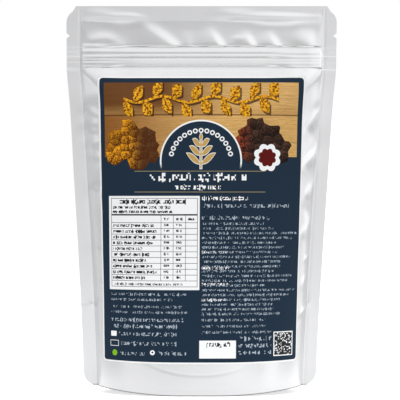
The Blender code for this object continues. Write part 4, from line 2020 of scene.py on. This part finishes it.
@dataclass
class Studio:
    """Floor, lights, surroundings and camera."""

    floor_width: float = 0.30
    camera_distance: float = 0.890
    camera_across: float = 0.0001
    camera_height: float = 0.09896
    lens: float = 154.56
    sensor_width: float = 36.0
    floor_front: float = -0.15
    floor_back: float = 1.5
    floor_drop: float = 0.0002
    overhead: Skylight = Skylight("Overhead", (0.0, 0.0, 1.0), 1.45)

    def build(self) -> None:
        """Set up the whole studio."""
        self._floor()
        self._world()
        self.overhead.hang()
        self._camera()
        bpy.context.scene.view_settings.view_transform = "Standard"

    def _floor(self) -> None:
        """Lay a plain pale floor."""
        half, near, far = self.floor_width / 2.0, self.floor_front, self.floor_back
        corners = [(-half, near, 0.0), (half, near, 0.0), (half, far, 0.0), (-half, far, 0.0)]
        mesh = bpy.data.meshes.new("floor")
        mesh.from_pydata(corners, [], [(0, 1, 2, 3)])
        floor = bpy.data.objects.new("floor", mesh)
        floor.location.z = -self.floor_drop
        bpy.context.scene.collection.objects.link(floor)
        mesh.materials.append(FloorFinish(shade=0.88, glow=0.60, reflected=0.08).build())

    def _world(self) -> None:
        """Surround the scene with a soft gradient, and with plain white where it is seen."""
        world = bpy.data.worlds.new("Studio")
        bpy.context.scene.world = world
        world.use_nodes = True
        graph = Graph(world.node_tree)
        x, y, z = graph.split(graph.add("ShaderNodeTexCoord").outputs["Generated"])
        # Around the horizon, from left to right
        near_left = graph.ramp(z, -0.08, 0.05, 1.14, 0.43)
        slant = graph.times(graph.ramp(y, -0.55, -0.38, 0.42, 0.0), graph.ramp(z, -0.02, 0.04, 1.0, 0.0))
        slant = graph.plus(slant, 1.0)
        far_left = graph.times(graph.ramp(z, -0.12, 0.12, 0.69, 0.55), slant)
        left = graph.ramp(x, -0.45, -0.15, far_left, near_left)
        far_right = graph.ramp(z, -0.20, 0.20, 0.62, 1.40)
        far_right = graph.times(graph.times(far_right, slant), graph.ramp(x, 0.6, 0.9, 0.74, 1.0))
        right = graph.ramp(x, 0.28, 0.50, graph.ramp(z, -0.06, 0.0, 1.28, 0.96), far_right)
        horizon = graph.ramp(x, -0.08, 0.26, left, right)
        # A low glow behind the pouch, and a bright patch ahead of it
        low = graph.times(graph.ramp(z, 0.02, 0.12, 1.0, 0.0), graph.ramp(z, -0.07, -0.03, 0.3, 1.0))
        low = graph.times(low, graph.ramp(x, -0.3, 0.3, 0.2, 0.7))
        behind = graph.times(graph.ramp(y, -0.02, 0.35), low)
        horizon = graph.plus(horizon, behind)
        ahead = graph.times(graph.ramp(x, -0.22, 0.06, 0.10, 1.0), graph.ramp(x, 0.10, 0.40, 1.0, 0.0))
        front = graph.times(graph.ramp(z, -0.13, 0.05, 1.0, 0.0), ahead)
        horizon = graph.scale_add(front, graph.minus(1.34, horizon), horizon)
        under = graph.ramp(z, -0.34, -0.15, graph.ramp(x, -0.40, -0.12, 0.70, 0.28), 1.0)
        horizon = graph.times(horizon, under)
        # Overhead, and how it meets the horizon
        above = graph.times(graph.ramp(x, -0.04, 0.20, 1.0, 1.24), graph.ramp(z, 0.75, 0.95, 1.0, 0.5))
        above = graph.times(above, graph.ramp(x, -0.85, -0.55, 0.88, 1.0))
        band = graph.ramp(z, 0.22, 0.42)
        glow = graph.scale_add(band, graph.minus(above, horizon), horizon)
        seen = graph.add("ShaderNodeLightPath").outputs["Is Camera Ray"]
        background = world.node_tree.nodes["Background"]
        background.inputs["Color"].default_value = (1.0, 1.0, 1.0, 1.0)
        graph.feed(background.inputs["Strength"], graph.larger(seen, glow))

    def _camera(self) -> None:
        """Set the camera level with the middle of the pouch."""
        data = bpy.data.cameras.new("Camera")
        data.lens = self.lens
        data.sensor_width = self.sensor_width
        camera = bpy.data.objects.new("Camera", data)
        camera.location = (self.camera_across, -self.camera_distance, self.camera_height)
        camera.rotation_euler = (math.radians(90.0), 0.0, 0.0)
        bpy.context.scene.collection.objects.link(camera)
        bpy.context.scene.camera = camera


def dress(piece: bpy.types.Object, material: bpy.types.Material, node: str) -> None:
    """Give a piece its finish and tie it to the frame.

    Args:
        piece: The piece.
        material: Its finish.
        node: The CAD node that it stands for.
    """
    piece.data.materials.clear()
    piece.data.materials.append(material)
    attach(piece, "root")
    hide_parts(node)
    log.info("%s: %d faces", piece.name, len(piece.data.polygons))


def dress_kept_nodes(nodes: dict[str, bpy.types.Object]) -> None:
    """Give the CAD pieces that stay hidden inside the pouch their finishes.

    Args:
        nodes: The frame's nodes by name.
    """
    milky, cloudy = (0.86, 0.88, 0.88), (0.82, 0.84, 0.85)
    zip_finish = PlainFinish("Zip plastic", milky, cloudy, 300.0, 0.35, 0.25).build()
    brown, dark = (0.13, 0.07, 0.035), (0.05, 0.028, 0.016)
    fill_finish = PlainFinish("Dried filling", brown, dark, 180.0, 0.9).build()
    for name, finish, slot in (
        ("zip_strip_front", zip_finish, "zip_plastic"),
        ("zip_strip_back", zip_finish, "zip_plastic"),
        ("filling", fill_finish, "dried_filling"),
    ):
        node = nodes[name]
        node.data.materials.clear()
        node.data.materials.append(finish)
        log.info("%s kept", name)


def main() -> None:
    """Build the pouch's looks and the studio around the frame."""
    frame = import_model()
    form = PouchForm()
    covered = (Label.half_width, Label.bottom, Label.top)
    front = FilmPanel(form, "front_film_sheet", Face.FRONT, front_relief(form), covered=covered)
    back = FilmPanel(form, "back_film_sheet", Face.BACK, back_relief(form), coarse=1.5)
    front_film = FilmFinish("Front film", (0.800, 0.8025, 0.813)).build()
    back_film = FilmFinish("Back film", (0.780, 0.7825, 0.792)).build()
    gusset_film = FilmFinish("Gusset film", (0.740, 0.7425, 0.752), 0.40).build()
    dress(front.build(), front_film, "front_panel")
    dress(back.build(), back_film, "back_panel")
    dress(Gusset(form).build(), gusset_film, "bottom_gusset")
    dress(Label(front).build(), LabelFinish(PrintKit()).build(), "label")
    dress_kept_nodes(frame["nodes"])
    Studio().build()


if __name__ == "__main__":
    main()
